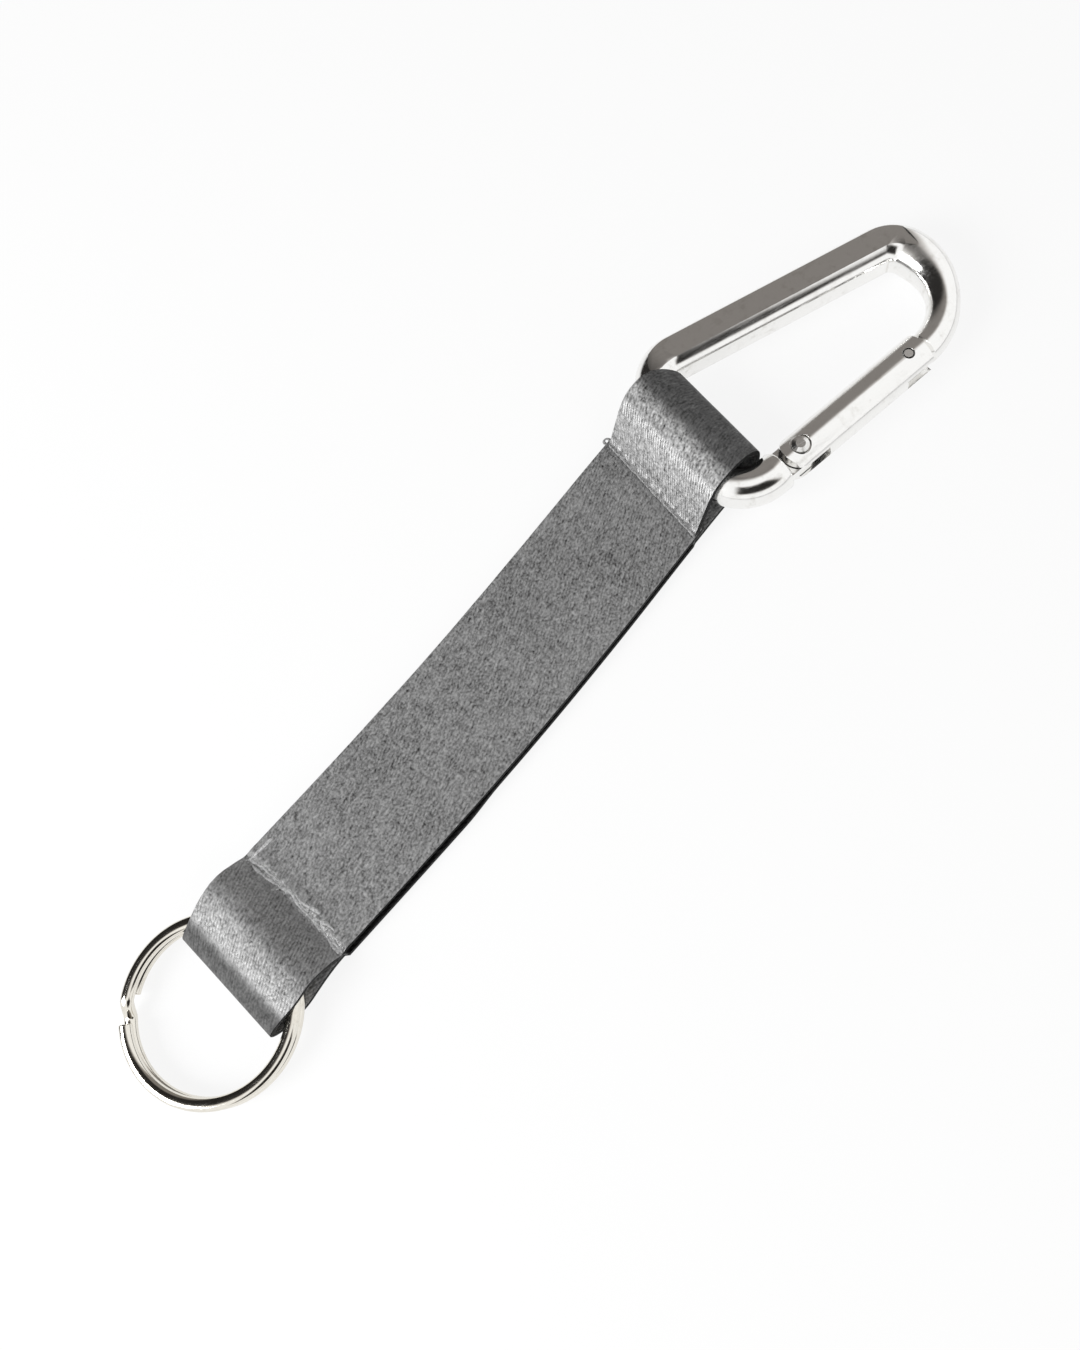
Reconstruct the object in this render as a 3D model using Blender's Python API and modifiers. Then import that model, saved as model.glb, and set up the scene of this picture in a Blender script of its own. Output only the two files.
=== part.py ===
"""Short strap keychain: a webbing strap with an aluminium spring-gate carabiner and a steel split ring.

The strap lies on the floor along X with the carabiner at +X and the ring at -X.
The origin is on the floor under the middle of the strap. Units are metres.
"""
import math

import bmesh
import bpy
from mathutils import Vector

# Driving dimensions of the webbing strap
STRAP_WIDTH = 0.0250
PLY = 0.0011
PLY_GAP = 0.0003
SEAM_SPAN = 0.0971
STRAP_BOW = 0.0015
LAP_OVER_SEAM = 0.0018
TUCK_UNDER_SEAM = 0.0022
CLIP_LOOP_REACH = 0.0178
CLIP_LOOP_SLACK = 0.0012
CLIP_FOLD_ROUND = 0.0046
RING_LOOP_REACH = 0.0172
RING_LOOP_SLACK = 0.0006
RING_FOLD_ROUND = 0.0030

# Shares of each loop's reach where the webbing is highest and where the metal piece lies
CLIP_CREST_SHARE = 0.45
RING_CREST_SHARE = 0.42
CLIP_SEAT_SHARE = 0.717
RING_SEAT_SHARE = 0.322

# How straight each loop rises and how square its shoulder is
RAMP_BEND_SHARE = 0.2
CLIP_SHOULDER_POWER = 2.6
RING_SHOULDER_POWER = 2.4

# How the strap's outline slants, draws in and moves aside near its folds
CLIP_SKEW_SHARE = 0.20
RING_SKEW_SHARE = 0.05
CLIP_DRAW_SHARE = 0.17
CLIP_DRAW_POWER = 0.7
RING_DRAW_START_SHARE = 0.5
RING_WRAP_SHARE = 0.70
CLIP_FOLD_SHIFT = -0.0027
RING_FOLD_SHIFT = -0.0017

# Driving dimensions of the carabiner body
ROD_RADIUS = 0.00375
SPINE_RADIUS = 0.00425
SPINE_FLAT_DEPTH = 0.00075
SPINE_FLAT_TILT = math.radians(8.0)
SPINE_SIDE_DEPTH = 0.00035
SPINE_OFFSET = 0.0287
SPINE_END = 0.0341
BAR_OFFSET = 0.0156
SPINE_CORNER_RADIUS = 0.0065
HINGE_CORNER_RADIUS = 0.0075
NOSE_RADIUS = 0.0053
NOSE_TURN = math.radians(66.0)
NECK_RADIUS = 0.0030
GATE_ANGLE = math.radians(12.4)
END_CHAMFER = 0.0006

# Driving dimensions of the gate and of what it holds
HINGE_SHOULDER = 0.0043
EAR_RADIUS = 0.0036
GATE_END_GAP = 0.0005
TANG_THICKNESS = 0.0026
TANG_RADIUS = 0.0028
TANG_HEEL = 0.0022
HINGE_SLOT_DEPTH = 0.0041
TONGUE_THICKNESS = 0.0024
TONGUE_HALF_HEIGHT = 0.0024
TONGUE_LENGTH = 0.0054
LATCH_SLOT_DEPTH = 0.0064
LATCH_PIN_RADIUS = 0.0008
LATCH_PIN_INSET = 0.0034
LATCH_NOTCH_CLEARANCE = 0.0004
RIVET_RADIUS = 0.0011
RIVET_HEAD_RADIUS = 0.0016
RIVET_HEAD_HEIGHT = 0.0006
SPOT_FACE_DEPTH = 0.0007
BORE_RADIUS = 0.00135
BORE_OFFSET = 0.0010
BORE_END = 0.0160
PLUNGER_LENGTH = 0.0045
SPRING_WIRE_RADIUS = 0.0002
SPRING_TURNS = 8

# Driving dimensions of the split ring
RING_OUTER_RADIUS = 0.0162
RING_WIRE_WIDTH = 0.0023
RING_WIRE_HEIGHT = 0.0018
RING_TURN_GAP = 0.00012
RING_CROSS_ANGLE = math.radians(13.0)
RING_CROSS_AT = math.radians(130.0)
RING_END_ANGLE = math.radians(3.0)

# Where the two metal pieces lie across the strap, and how the carabiner's bar sits on its axis
RING_CENTRE_Y = -0.0003
CLIP_SWING_Y = 0.0013
CLIP_SWING_OFFSET = 0.0020
CLIP_YAW = math.radians(-21.6)

# Clearance between neighbouring solids, overrun of every cut, and mesh counts
CLEARANCE = 0.0003
OVERRUN = 0.0010
MERGE = 0.00001
ROUND_SIDES = 24
TUBE_RESOLUTION = 8
ARC_STEP = math.radians(8.0)

HALF_SPAN = SEAM_SPAN / 2
BOW_SPAN = HALF_SPAN + RING_LOOP_REACH
BACK_LEVEL = PLY / 2
FRONT_LEVEL = BACK_LEVEL + PLY + PLY_GAP
FLAP_LEVEL = FRONT_LEVEL + PLY + PLY_GAP
RING_HEIGHT = 2 * RING_WIRE_HEIGHT + RING_TURN_GAP
RING_CENTRE_X = -(HALF_SPAN + RING_SEAT_SHARE * RING_LOOP_REACH + RING_OUTER_RADIUS)
CLIP_SWING_X = HALF_SPAN + CLIP_SEAT_SHARE * CLIP_LOOP_REACH


def start_scene():
    """Remove what the scene holds and return the part's and the cutters' collections."""
    for old in list(bpy.data.objects):
        bpy.data.objects.remove(old, do_unlink=True)
    part = bpy.data.collections.new("strap_keychain")
    cutters = bpy.data.collections.new("cutters")
    bpy.context.scene.collection.children.link(part)
    bpy.context.scene.collection.children.link(cutters)
    return part, cutters


PART, CUTTERS = start_scene()


def material(name, colour, roughness, metallic):
    """A plain surface for one sub-part."""
    surface = bpy.data.materials.new(name)
    surface.use_nodes = True
    shader = surface.node_tree.nodes["Principled BSDF"]
    shader.inputs["Base Color"].default_value = (*colour, 1.0)
    shader.inputs["Roughness"].default_value = roughness
    shader.inputs["Metallic"].default_value = metallic
    surface.diffuse_color = (*colour, 1.0)
    return surface


def place(obj, parent=None, location=(0, 0, 0), rotation=(0, 0, 0), surface=None):
    """Put a piece in the part's collection, under its parent."""
    PART.objects.link(obj)
    obj.parent = parent
    obj.location = location
    obj.rotation_euler = rotation
    if surface is not None:
        obj.data.materials.append(surface)
    return obj


def cut(target, tool, parent=None, location=(0, 0, 0), rotation=(0, 0, 0), operation="DIFFERENCE"):
    """Cut or join one piece with a hidden tool."""
    CUTTERS.objects.link(tool)
    tool.parent = parent
    tool.location = location
    tool.rotation_euler = rotation
    tool.hide_render = True
    tool.display_type = "WIRE"
    step = target.modifiers.new(tool.name, "BOOLEAN")
    step.operation = operation
    step.solver = "EXACT"
    step.object = tool


def mesh_object(name, build, smooth=False):
    """An object whose mesh one bmesh function fills."""
    mesh = bpy.data.meshes.new(name)
    bm = bmesh.new()
    build(bm)
    bm.to_mesh(mesh)
    bm.free()
    if smooth:
        mesh.shade_smooth()
        mesh.set_sharp_from_angle(angle=math.radians(35.0))
    return bpy.data.objects.new(name, mesh)


def box(name, low, high):
    """A box between two corners."""
    def build(bm):
        bmesh.ops.create_cube(bm, size=1.0)
        for vert in bm.verts:
            share = [value + 0.5 for value in vert.co]
            vert.co = [a + (b - a) * s for a, b, s in zip(low, high, share)]
    return mesh_object(name, build)


def round_bar(name, radius, start, end, axis="Z", sides=ROUND_SIDES):
    """A cylinder between two places along one axis."""
    def build(bm):
        bmesh.ops.create_cone(bm, cap_ends=True, segments=sides, radius1=radius, radius2=radius, depth=end - start)
        bmesh.ops.translate(bm, verts=bm.verts, vec=(0, 0, (start + end) / 2))
        if axis == "X":
            for vert in bm.verts:
                vert.co = (vert.co.z, vert.co.y, -vert.co.x)
    return mesh_object(name, build, smooth=True)


def turned(name, profile, sides=ROUND_SIDES):
    """A turned piece about Z, from a profile of radius and height that runs from top to bottom."""
    def build(bm):
        verts = [bm.verts.new((radius, 0, height)) for radius, height in profile]
        for first, second in zip(verts, verts[1:]):
            bm.edges.new((first, second))
    obj = mesh_object(name, build)
    screw = obj.modifiers.new("turn", "SCREW")
    screw.steps = sides
    screw.render_steps = sides
    screw.use_merge_vertices = True
    screw.merge_threshold = MERGE
    screw.use_smooth_shade = True
    return obj


def tube(name, points, radius, shares=None, resolution=TUBE_RESOLUTION):
    """A round tube with closed ends along a list of points, as a mesh."""
    curve = bpy.data.curves.new(name + "_route", "CURVE")
    curve.dimensions = "3D"
    curve.twist_mode = "Z_UP"
    curve.bevel_depth = radius
    curve.bevel_resolution = resolution
    curve.use_fill_caps = True
    spline = curve.splines.new("POLY")
    spline.points.add(len(points) - 1)
    for index, point in enumerate(points):
        spline.points[index].co = (*point, 1.0)
        spline.points[index].radius = 1.0 if shares is None else shares[index]
    route = bpy.data.objects.new(name + "_route", curve)
    bpy.context.scene.collection.objects.link(route)
    evaluated = route.evaluated_get(bpy.context.evaluated_depsgraph_get())
    mesh = bpy.data.meshes.new_from_object(evaluated)
    mesh.name = name
    bm = bmesh.new()
    bm.from_mesh(mesh)
    bmesh.ops.remove_doubles(bm, verts=bm.verts, dist=MERGE)
    bmesh.ops.recalc_face_normals(bm, faces=bm.faces)
    bm.to_mesh(mesh)
    bm.free()
    mesh.shade_smooth()
    mesh.set_sharp_from_angle(angle=math.radians(35.0))
    bpy.data.objects.remove(route, do_unlink=True)
    return bpy.data.objects.new(name, mesh)


def arc(centre, radius, start, end, step=ARC_STEP):
    """Points along an arc, both ends included."""
    count = max(2, math.ceil(abs(end - start) / step))
    angles = [start + (end - start) * index / count for index in range(count + 1)]
    return [(centre[0] + radius * math.cos(a), centre[1] + radius * math.sin(a)) for a in angles]


def ease(value):
    """A smooth step from 0 to 1."""
    value = min(1.0, max(0.0, value))
    return value * value * (3 - 2 * value)


def ramp(value):
    """A straight rise from 0 to 1 with a short bend at each end."""
    top = 1 - RAMP_BEND_SHARE
    steepness = 1 / top
    if value < RAMP_BEND_SHARE:
        return steepness * value ** 2 / (2 * RAMP_BEND_SHARE)
    if value > top:
        return 1 - steepness * (1 - value) ** 2 / (2 * RAMP_BEND_SHARE)
    return steepness * (value - RAMP_BEND_SHARE / 2)


# Webbing strap

def loop_run(seam, reach, level, height, crest_share, power, fold_round, sign):
    """One ply from a seam, up to the loop's crest, down its shoulder and round its fold to the back ply."""
    crest = crest_share * reach
    top = height - PLY / 2
    fold = reach - PLY / 2
    drop = (top - BACK_LEVEL) / 2
    rise_steps = 8
    run = []
    for index in range(rise_steps):
        share = index / rise_steps
        run.append((seam + sign * crest * share, level + (top - level) * ramp(share)))
    for x, z in arc((0, 0), 1.0, math.radians(90), math.radians(-90), math.radians(15)):
        width = fold - crest if z > 0 else fold_round
        bend = power if z > 0 else 2
        out = abs(x) ** (2 / bend)
        rise = math.copysign(abs(z) ** (2 / bend), z)
        run.append((seam + sign * (fold - width + width * out), BACK_LEVEL + drop * (1 + rise)))
    return run


def strap_route():
    """The webbing's route in X and Z, from the flap's cut edge to the tucked end."""
    clip_height = 2 * (PLY + CLIP_LOOP_SLACK + ROD_RADIUS)
    ring_height = 2 * (PLY + RING_LOOP_SLACK) + RING_HEIGHT
    flap = loop_run(HALF_SPAN, CLIP_LOOP_REACH, FLAP_LEVEL, clip_height, CLIP_CREST_SHARE,
                    CLIP_SHOULDER_POWER, CLIP_FOLD_ROUND, 1)
    ring = loop_run(-HALF_SPAN, RING_LOOP_REACH, FRONT_LEVEL, ring_height, RING_CREST_SHARE,
                    RING_SHOULDER_POWER, RING_FOLD_ROUND, -1)
    run_steps = 14
    between = [HALF_SPAN * (1 - 2 * index / run_steps) for index in range(run_steps + 1)]
    route = [(HALF_SPAN - LAP_OVER_SEAM, FLAP_LEVEL)]
    route += flap
    route += [(x, BACK_LEVEL) for x in between]
    route += ring[::-1]
    route += [(-x, FRONT_LEVEL) for x in between[1:]]
    route.append((HALF_SPAN + TUCK_UNDER_SEAM, FRONT_LEVEL))
    return route


def ring_draw_share():
    """Share by which the ring's bore draws in the webbing at its fold."""
    bore = RING_OUTER_RADIUS - RING_WIRE_WIDTH
    fold = HALF_SPAN + RING_LOOP_REACH - PLY - RING_WRAP_SHARE * RING_FOLD_ROUND
    half_chord = math.sqrt(max(0, bore ** 2 - (RING_CENTRE_X + fold) ** 2))
    return max(0, 1 - 2 * half_chord / STRAP_WIDTH)


def strap_place(x, z, across):
    """Bend a flat place on the webbing to the strap's bow, skew and drawn-in folds."""
    over_clip = ease((x - HALF_SPAN + STRAP_WIDTH) / STRAP_WIDTH)
    over_ring = ease((-x - HALF_SPAN + STRAP_WIDTH) / STRAP_WIDTH)
    at_clip = min(1.0, max(0.0, (x - HALF_SPAN) / CLIP_LOOP_REACH)) ** CLIP_DRAW_POWER
    at_ring = (-x - HALF_SPAN) / RING_LOOP_REACH
    ring_draw = ring_draw_share() * ease((at_ring - RING_DRAW_START_SHARE) / (1 - RING_DRAW_START_SHARE))
    along = min(1.0, abs(x) / BOW_SPAN)
    bow = STRAP_BOW * (1 - (1 - along * along) ** 2)
    width = STRAP_WIDTH * (1 - CLIP_DRAW_SHARE * at_clip - ring_draw)
    y = across * width / 2
    skew = CLIP_SKEW_SHARE * over_clip + RING_SKEW_SHARE * over_ring
    shift = CLIP_FOLD_SHIFT * at_clip + RING_FOLD_SHIFT * ease(at_ring)
    return Vector((x + skew * y, y + bow + shift, z))


def make_strap():
    """One strip of webbing, folded round the ring and the carabiner and lapped at the carabiner's seam."""
    route = strap_route()
    across_steps = 4

    def build(bm):
        bmesh.ops.create_grid(bm, x_segments=len(route) - 1, y_segments=across_steps, size=1.0)
        for vert in bm.verts:
            index = round((vert.co.x + 1) / 2 * (len(route) - 1))
            vert.co = strap_place(*route[index], vert.co.y)

    strap = mesh_object("webbing_strap", build)
    wall = strap.modifiers.new("ply", "SOLIDIFY")
    wall.thickness = PLY
    wall.offset = 0.0
    wall.use_even_offset = True
    return place(strap, surface=material("webbing", (0.21, 0.21, 0.21), 0.75, 0.0))


# Split ring

def ring_route():
    """Two turns of wire that change level where they cross, flattened by the height share."""
    mean = RING_OUTER_RADIUS - RING_WIRE_WIDTH / 2
    lift = (RING_WIRE_HEIGHT + RING_TURN_GAP) / 2
    half_cross = RING_CROSS_ANGLE / 2
    start = half_cross + RING_END_ANGLE
    finish = 4 * math.pi - start
    steps = 110
    points = []
    for index in range(steps + 1):
        angle = start + (finish - start) * index / steps
        level = 1 - 2 * ease((angle - 2 * math.pi + half_cross) / RING_CROSS_ANGLE)
        turn = angle + RING_CROSS_AT
        points.append((mean * math.cos(turn), mean * math.sin(turn), lift * level))
    return points


def make_ring():
    """A steel split ring, wound in two flat turns."""
    flatten = RING_WIRE_HEIGHT / RING_WIRE_WIDTH
    tilt = math.asin((PLY + RING_LOOP_SLACK / 2) / (2 * RING_OUTER_RADIUS))
    points = [(x, y, z / flatten) for x, y, z in ring_route()]
    ring = tube("split_ring", points, RING_WIRE_WIDTH / 2, resolution=2)
    for vert in ring.data.vertices:
        vert.co.z *= flatten
    height = PLY + RING_LOOP_SLACK + RING_HEIGHT / 2 - RING_OUTER_RADIUS * math.sin(tilt)
    return place(ring, location=(RING_CENTRE_X, RING_CENTRE_Y, height), rotation=(0, -tilt, 0),
                 surface=material("nickel_steel", (0.62, 0.60, 0.56), 0.22, 1.0))


# Carabiner body

def hinge_corner_centre():
    """Centre of the bend between the bar in the strap and the hinge end."""
    x = -BAR_OFFSET + HINGE_CORNER_RADIUS
    return x, (HINGE_CORNER_RADIUS + math.sin(GATE_ANGLE) * x) / math.cos(GATE_ANGLE)


def nose_arcs():
    """Centres of the nose's two bends, the second's radius and the angle where they join."""
    start_angle = math.radians(90) - NOSE_TURN
    first = (SPINE_END, SPINE_OFFSET - NOSE_RADIUS)
    joint = (first[0] + NOSE_RADIUS * math.cos(start_angle), first[1] + NOSE_RADIUS * math.sin(start_angle))
    normal = (-math.sin(GATE_ANGLE), math.cos(GATE_ANGLE))
    toward = (math.cos(start_angle), math.sin(start_angle))
    height = normal[0] * joint[0] + normal[1] * joint[1]
    radius = height / (1 + normal[0] * toward[0] + normal[1] * toward[1])
    second = (joint[0] - radius * toward[0], joint[1] - radius * toward[1])
    return first, second, radius, start_angle


def nose_end():
    """Where the nose ends along the gate's line."""
    second = nose_arcs()[1]
    return second[0] * math.cos(GATE_ANGLE) + second[1] * math.sin(GATE_ANGLE)


def nose_reach():
    """How far the nose's centre line reaches from the hinge along the spine."""
    first, second, radius, start_angle = nose_arcs()
    return max(second[0] + radius, first[0] + NOSE_RADIUS)


NOSE_END = nose_end()
GATE_LENGTH = NOSE_END - GATE_END_GAP
BAR_MIDDLE = (hinge_corner_centre()[1] + SPINE_OFFSET - SPINE_CORNER_RADIUS) / 2
LATCH_AT = GATE_LENGTH - LATCH_PIN_INSET


def body_route():
    """The rod's centre line from the hinge shoulder round the bar and spine to the nose."""
    along = (math.cos(GATE_ANGLE), math.sin(GATE_ANGLE))
    hinge_centre = hinge_corner_centre()
    spine_centre = (-BAR_OFFSET + SPINE_CORNER_RADIUS, SPINE_OFFSET - SPINE_CORNER_RADIUS)
    first, second, radius, start_angle = nose_arcs()
    quarter = math.radians(90)
    tangent = GATE_ANGLE - quarter
    ends = [HINGE_SHOULDER, HINGE_SHOULDER + END_CHAMFER]
    route = [(-along[0] * back, -along[1] * back, 0) for back in ends]
    shares = [1 - END_CHAMFER / ROD_RADIUS, 1.0]
    spine_share = SPINE_RADIUS / ROD_RADIUS
    neck_share = NECK_RADIUS / ROD_RADIUS
    neck_pace = 1.6
    for x, y in arc(hinge_centre, HINGE_CORNER_RADIUS, tangent, -2 * quarter):
        route.append((x, y, 0))
        shares.append(1.0)
    bend = arc(spine_centre, SPINE_CORNER_RADIUS, 2 * quarter, quarter)
    for index, (x, y) in enumerate(bend):
        route.append((x, y, 0))
        shares.append(1 + (spine_share - 1) * ease(index / (len(bend) - 1)))
    for x, y in arc(first, NOSE_RADIUS, quarter, start_angle):
        route.append((x, y, 0))
        shares.append(spine_share)
    nose = arc(second, radius, start_angle, tangent)
    for index, (x, y) in enumerate(nose[1:], 1):
        route.append((x, y, 0))
        shares.append(spine_share + (neck_share - spine_share) * ease(neck_pace * index / (len(nose) - 1)))
    shares[-1] = neck_share - END_CHAMFER / ROD_RADIUS
    last, before = Vector(route[-1]), Vector(route[-2])
    inset = last + (before - last).normalized() * END_CHAMFER
    route.insert(-1, tuple(inset))
    shares.insert(-1, neck_share)
    return route, shares


def spine_cutters(body, frame, seat):
    """Press the spine's top and bottom flats, which lean outwards, and its narrow inner flat."""
    inner_start = -BAR_OFFSET
    inner_end = SPINE_END + NOSE_RADIUS
    top = SPINE_RADIUS - SPINE_FLAT_DEPTH
    side = SPINE_RADIUS - SPINE_SIDE_DEPTH
    reach = SPINE_RADIUS + OVERRUN
    spine = (seat[0], seat[1] + SPINE_OFFSET, seat[2])
    upper = box("spine_top_cut", (inner_start, -reach, top), (inner_end, reach, reach + OVERRUN))
    cut(body, upper, frame, spine, (-SPINE_FLAT_TILT, 0, 0))
    lower = box("spine_bottom_cut", (inner_start, -reach, -reach - OVERRUN), (inner_end, reach, -top))
    cut(body, lower, frame, spine, (SPINE_FLAT_TILT, 0, 0))
    flat_start = SPINE_CORNER_RADIUS - BAR_OFFSET
    cut(body, box("spine_inner_cut", (flat_start, -reach, -reach), (SPINE_END, -side, reach)), frame, spine)


def make_body(frame, seat):
    """The carabiner's bent rod with its hinge tang and its hooked nose tongue."""
    turn = (0, 0, GATE_ANGLE)
    route, shares = body_route()
    body = tube("carabiner_body", route, ROD_RADIUS, shares)
    place(body, frame, seat, surface=material("polished_aluminium", (0.78, 0.78, 0.78), 0.16, 1.0))
    spine_cutters(body, frame, seat)
    tang = round_bar("tang_end", TANG_RADIUS, -TANG_THICKNESS / 2, TANG_THICKNESS / 2)
    cut(body, tang, frame, seat, turn, "UNION")
    half = TANG_THICKNESS / 2
    neck_start = -HINGE_SHOULDER - OVERRUN
    neck = box("tang_neck", (neck_start, -TANG_RADIUS, -half), (0, TANG_RADIUS, half))
    cut(body, neck, frame, seat, turn, "UNION")
    heel = box("tang_heel", (-TANG_HEEL, -TANG_RADIUS / 2, -half), (TANG_RADIUS, TANG_HEEL, half))
    cut(body, heel, frame, seat, turn, "UNION")
    hole = round_bar("tang_hole", RIVET_RADIUS + CLEARANCE, -half - OVERRUN, half + OVERRUN)
    cut(body, hole, frame, seat, turn)
    half = TONGUE_THICKNESS / 2
    tip = NOSE_END - TONGUE_LENGTH
    tongue_low = (tip, -TONGUE_HALF_HEIGHT, -half)
    tongue = box("nose_tongue", tongue_low, (NOSE_END + OVERRUN, TONGUE_HALF_HEIGHT, half))
    cut(body, tongue, frame, seat, turn, "UNION")
    reach = LATCH_PIN_RADIUS + LATCH_NOTCH_CLEARANCE
    notch_low = (LATCH_AT - reach, -reach, -half - OVERRUN)
    notch = box("latch_notch", notch_low, (LATCH_AT + reach, TONGUE_HALF_HEIGHT + OVERRUN, half + OVERRUN))
    cut(body, notch, frame, seat, turn)
    return body


# Gate and the pieces in it

def make_gate(axle):
    """The round gate: forked ears on the hinge, a spring bore, and a slotted latch end."""
    gate = round_bar("gate", ROD_RADIUS, 0, GATE_LENGTH, "X")
    place(gate, axle, surface=material("gate_aluminium", (0.80, 0.80, 0.80), 0.18, 1.0))
    ears = round_bar("gate_ears", EAR_RADIUS, -ROD_RADIUS, ROD_RADIUS)
    rod = round_bar("ear_round", ROD_RADIUS, -ROD_RADIUS, TANG_RADIUS, "X")
    cut(ears, rod, axle, operation="INTERSECT")
    cut(gate, ears, axle, operation="UNION")
    half = TANG_THICKNESS / 2 + CLEARANCE
    side = ROD_RADIUS + OVERRUN
    slot = box("hinge_slot", (-side, -side, -half), (HINGE_SLOT_DEPTH, side, half))
    cut(gate, slot, axle)
    cut(gate, round_bar("rivet_hole", RIVET_RADIUS + CLEARANCE, -side, side), axle)
    spot = RIVET_HEAD_RADIUS + CLEARANCE
    face = ROD_RADIUS - SPOT_FACE_DEPTH
    cut(gate, round_bar("spot_face_top", spot, face, side), axle)
    cut(gate, round_bar("spot_face_bottom", spot, -side, -face), axle)
    bore = round_bar("spring_bore", BORE_RADIUS, 0, BORE_END, "X", 16)
    cut(gate, bore, axle, (0, BORE_OFFSET, 0))
    half = TONGUE_THICKNESS / 2 + CLEARANCE
    latch_start = GATE_LENGTH - LATCH_SLOT_DEPTH
    latch = box("latch_slot", (latch_start, -side, -half), (GATE_LENGTH + OVERRUN, side, half))
    cut(gate, latch, axle)
    cut(gate, round_bar("latch_hole", LATCH_PIN_RADIUS + CLEARANCE, -side, side, sides=16), axle, (LATCH_AT, 0, 0))
    return gate


def make_rivet(axle):
    """The hinge rivet, with a low domed head at each end."""
    face = ROD_RADIUS - SPOT_FACE_DEPTH + CLEARANCE
    crown = face + RIVET_HEAD_HEIGHT
    crown_share = 0.55
    half_profile = [(RIVET_HEAD_RADIUS * crown_share, crown), (RIVET_HEAD_RADIUS, (face + crown) / 2)]
    half_profile += [(RIVET_HEAD_RADIUS, face), (RIVET_RADIUS, face)]
    profile = [(0, crown)] + half_profile
    profile += [(radius, -height) for radius, height in half_profile[::-1]]
    profile.append((0, -crown))
    rivet = turned("hinge_rivet", profile, 20)
    return place(rivet, axle, surface=material("rivet_steel", (0.62, 0.62, 0.62), 0.30, 1.0))


def make_latch_pin(axle):
    """The cross pin that the nose's hook catches."""
    reach = math.sqrt(ROD_RADIUS ** 2 - LATCH_PIN_RADIUS ** 2)
    pin = round_bar("latch_pin", LATCH_PIN_RADIUS, -reach, reach, sides=16)
    return place(pin, axle, (LATCH_AT, 0, 0), surface=material("pin_steel", (0.60, 0.60, 0.60), 0.30, 1.0))


def make_plunger(axle):
    """The spring's steel pusher, whose round tip bears on the tang's heel."""
    radius = BORE_RADIUS - CLEARANCE
    tip_share = 0.5
    tip_length = radius * tip_share
    profile = [(0, PLUNGER_LENGTH), (radius, PLUNGER_LENGTH), (radius, tip_length), (radius * tip_share, 0), (0, 0)]
    plunger = turned("spring_plunger", profile, 16)
    start = TANG_RADIUS + CLEARANCE
    quarter = math.radians(90)
    return place(plunger, axle, (start, BORE_OFFSET, 0), (0, quarter, 0),
                 material("plunger_steel", (0.55, 0.55, 0.55), 0.35, 1.0))


def make_spring(axle):
    """The gate's compression spring, wound in the bore behind the pusher."""
    start = TANG_RADIUS + PLUNGER_LENGTH + 2 * CLEARANCE + SPRING_WIRE_RADIUS
    end = BORE_END - CLEARANCE - SPRING_WIRE_RADIUS
    mean = BORE_RADIUS - CLEARANCE - SPRING_WIRE_RADIUS
    points_per_turn = 10
    count = SPRING_TURNS * points_per_turn
    points = []
    for index in range(count + 1):
        share = index / count
        angle = math.tau * SPRING_TURNS * share
        points.append((start + (end - start) * share, mean * math.cos(angle), mean * math.sin(angle)))
    print("least gap between spring turns, m:", (end - start) / SPRING_TURNS - 2 * SPRING_WIRE_RADIUS)
    spring = tube("gate_spring", points, SPRING_WIRE_RADIUS, resolution=1)
    return place(spring, axle, (0, BORE_OFFSET, 0), surface=material("spring_steel", (0.50, 0.50, 0.50), 0.35, 1.0))


def make_carabiner():
    """The carabiner on its two joint axes: the bar in the strap's loop and the gate's rivet."""
    swing = bpy.data.objects.new("carabiner_swing_axis", None)
    lift = PLY + CLIP_LOOP_SLACK
    seat = (BAR_OFFSET - CLIP_SWING_OFFSET, -BAR_MIDDLE, 0)
    tilt = math.asin((lift + ROD_RADIUS - SPINE_RADIUS) / (seat[0] + nose_reach()))
    place(swing, None, (CLIP_SWING_X, CLIP_SWING_Y, lift + ROD_RADIUS), (0, tilt, CLIP_YAW))
    axle = bpy.data.objects.new("gate_hinge_axis", None)
    place(axle, swing, seat, (0, 0, GATE_ANGLE))
    make_body(swing, seat)
    make_gate(axle)
    make_rivet(axle)
    make_latch_pin(axle)
    make_plunger(axle)
    make_spring(axle)


make_strap()
make_ring()
make_carabiner()
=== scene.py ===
"""The strap keychain dressed over its solids: woven webbing, polished carabiner and nickel split ring.

Every length is in metres, in the solids' own frame: X runs along the strap towards the carabiner, and Z up
from the floor.
"""
import math

import bmesh
import bpy
from mathutils import Euler, Matrix, Vector, noise


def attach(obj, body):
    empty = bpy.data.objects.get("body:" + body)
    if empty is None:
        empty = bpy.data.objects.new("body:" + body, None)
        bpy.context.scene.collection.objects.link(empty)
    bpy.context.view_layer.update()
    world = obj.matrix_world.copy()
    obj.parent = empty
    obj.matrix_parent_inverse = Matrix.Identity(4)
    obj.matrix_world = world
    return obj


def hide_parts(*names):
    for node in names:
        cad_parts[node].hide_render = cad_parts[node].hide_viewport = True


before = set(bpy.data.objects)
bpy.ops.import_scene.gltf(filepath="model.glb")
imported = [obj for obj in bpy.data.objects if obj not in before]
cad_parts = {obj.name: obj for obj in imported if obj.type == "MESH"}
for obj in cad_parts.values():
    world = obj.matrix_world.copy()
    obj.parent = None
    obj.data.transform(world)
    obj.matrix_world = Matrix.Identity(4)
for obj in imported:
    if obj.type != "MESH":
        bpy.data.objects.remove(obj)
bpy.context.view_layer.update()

# Sizes of the strap, as in the solids
STRAP_WIDTH = 0.0250
PLY = 0.0011
PLY_GAP = 0.0003
SEAM_SPAN = 0.0971
HALF_SPAN = SEAM_SPAN / 2
STRAP_BOW = 0.0015
TUCK_UNDER_SEAM = 0.0022
CLIP_LOOP_REACH = 0.0178
CLIP_LOOP_SLACK = 0.0012
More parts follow.
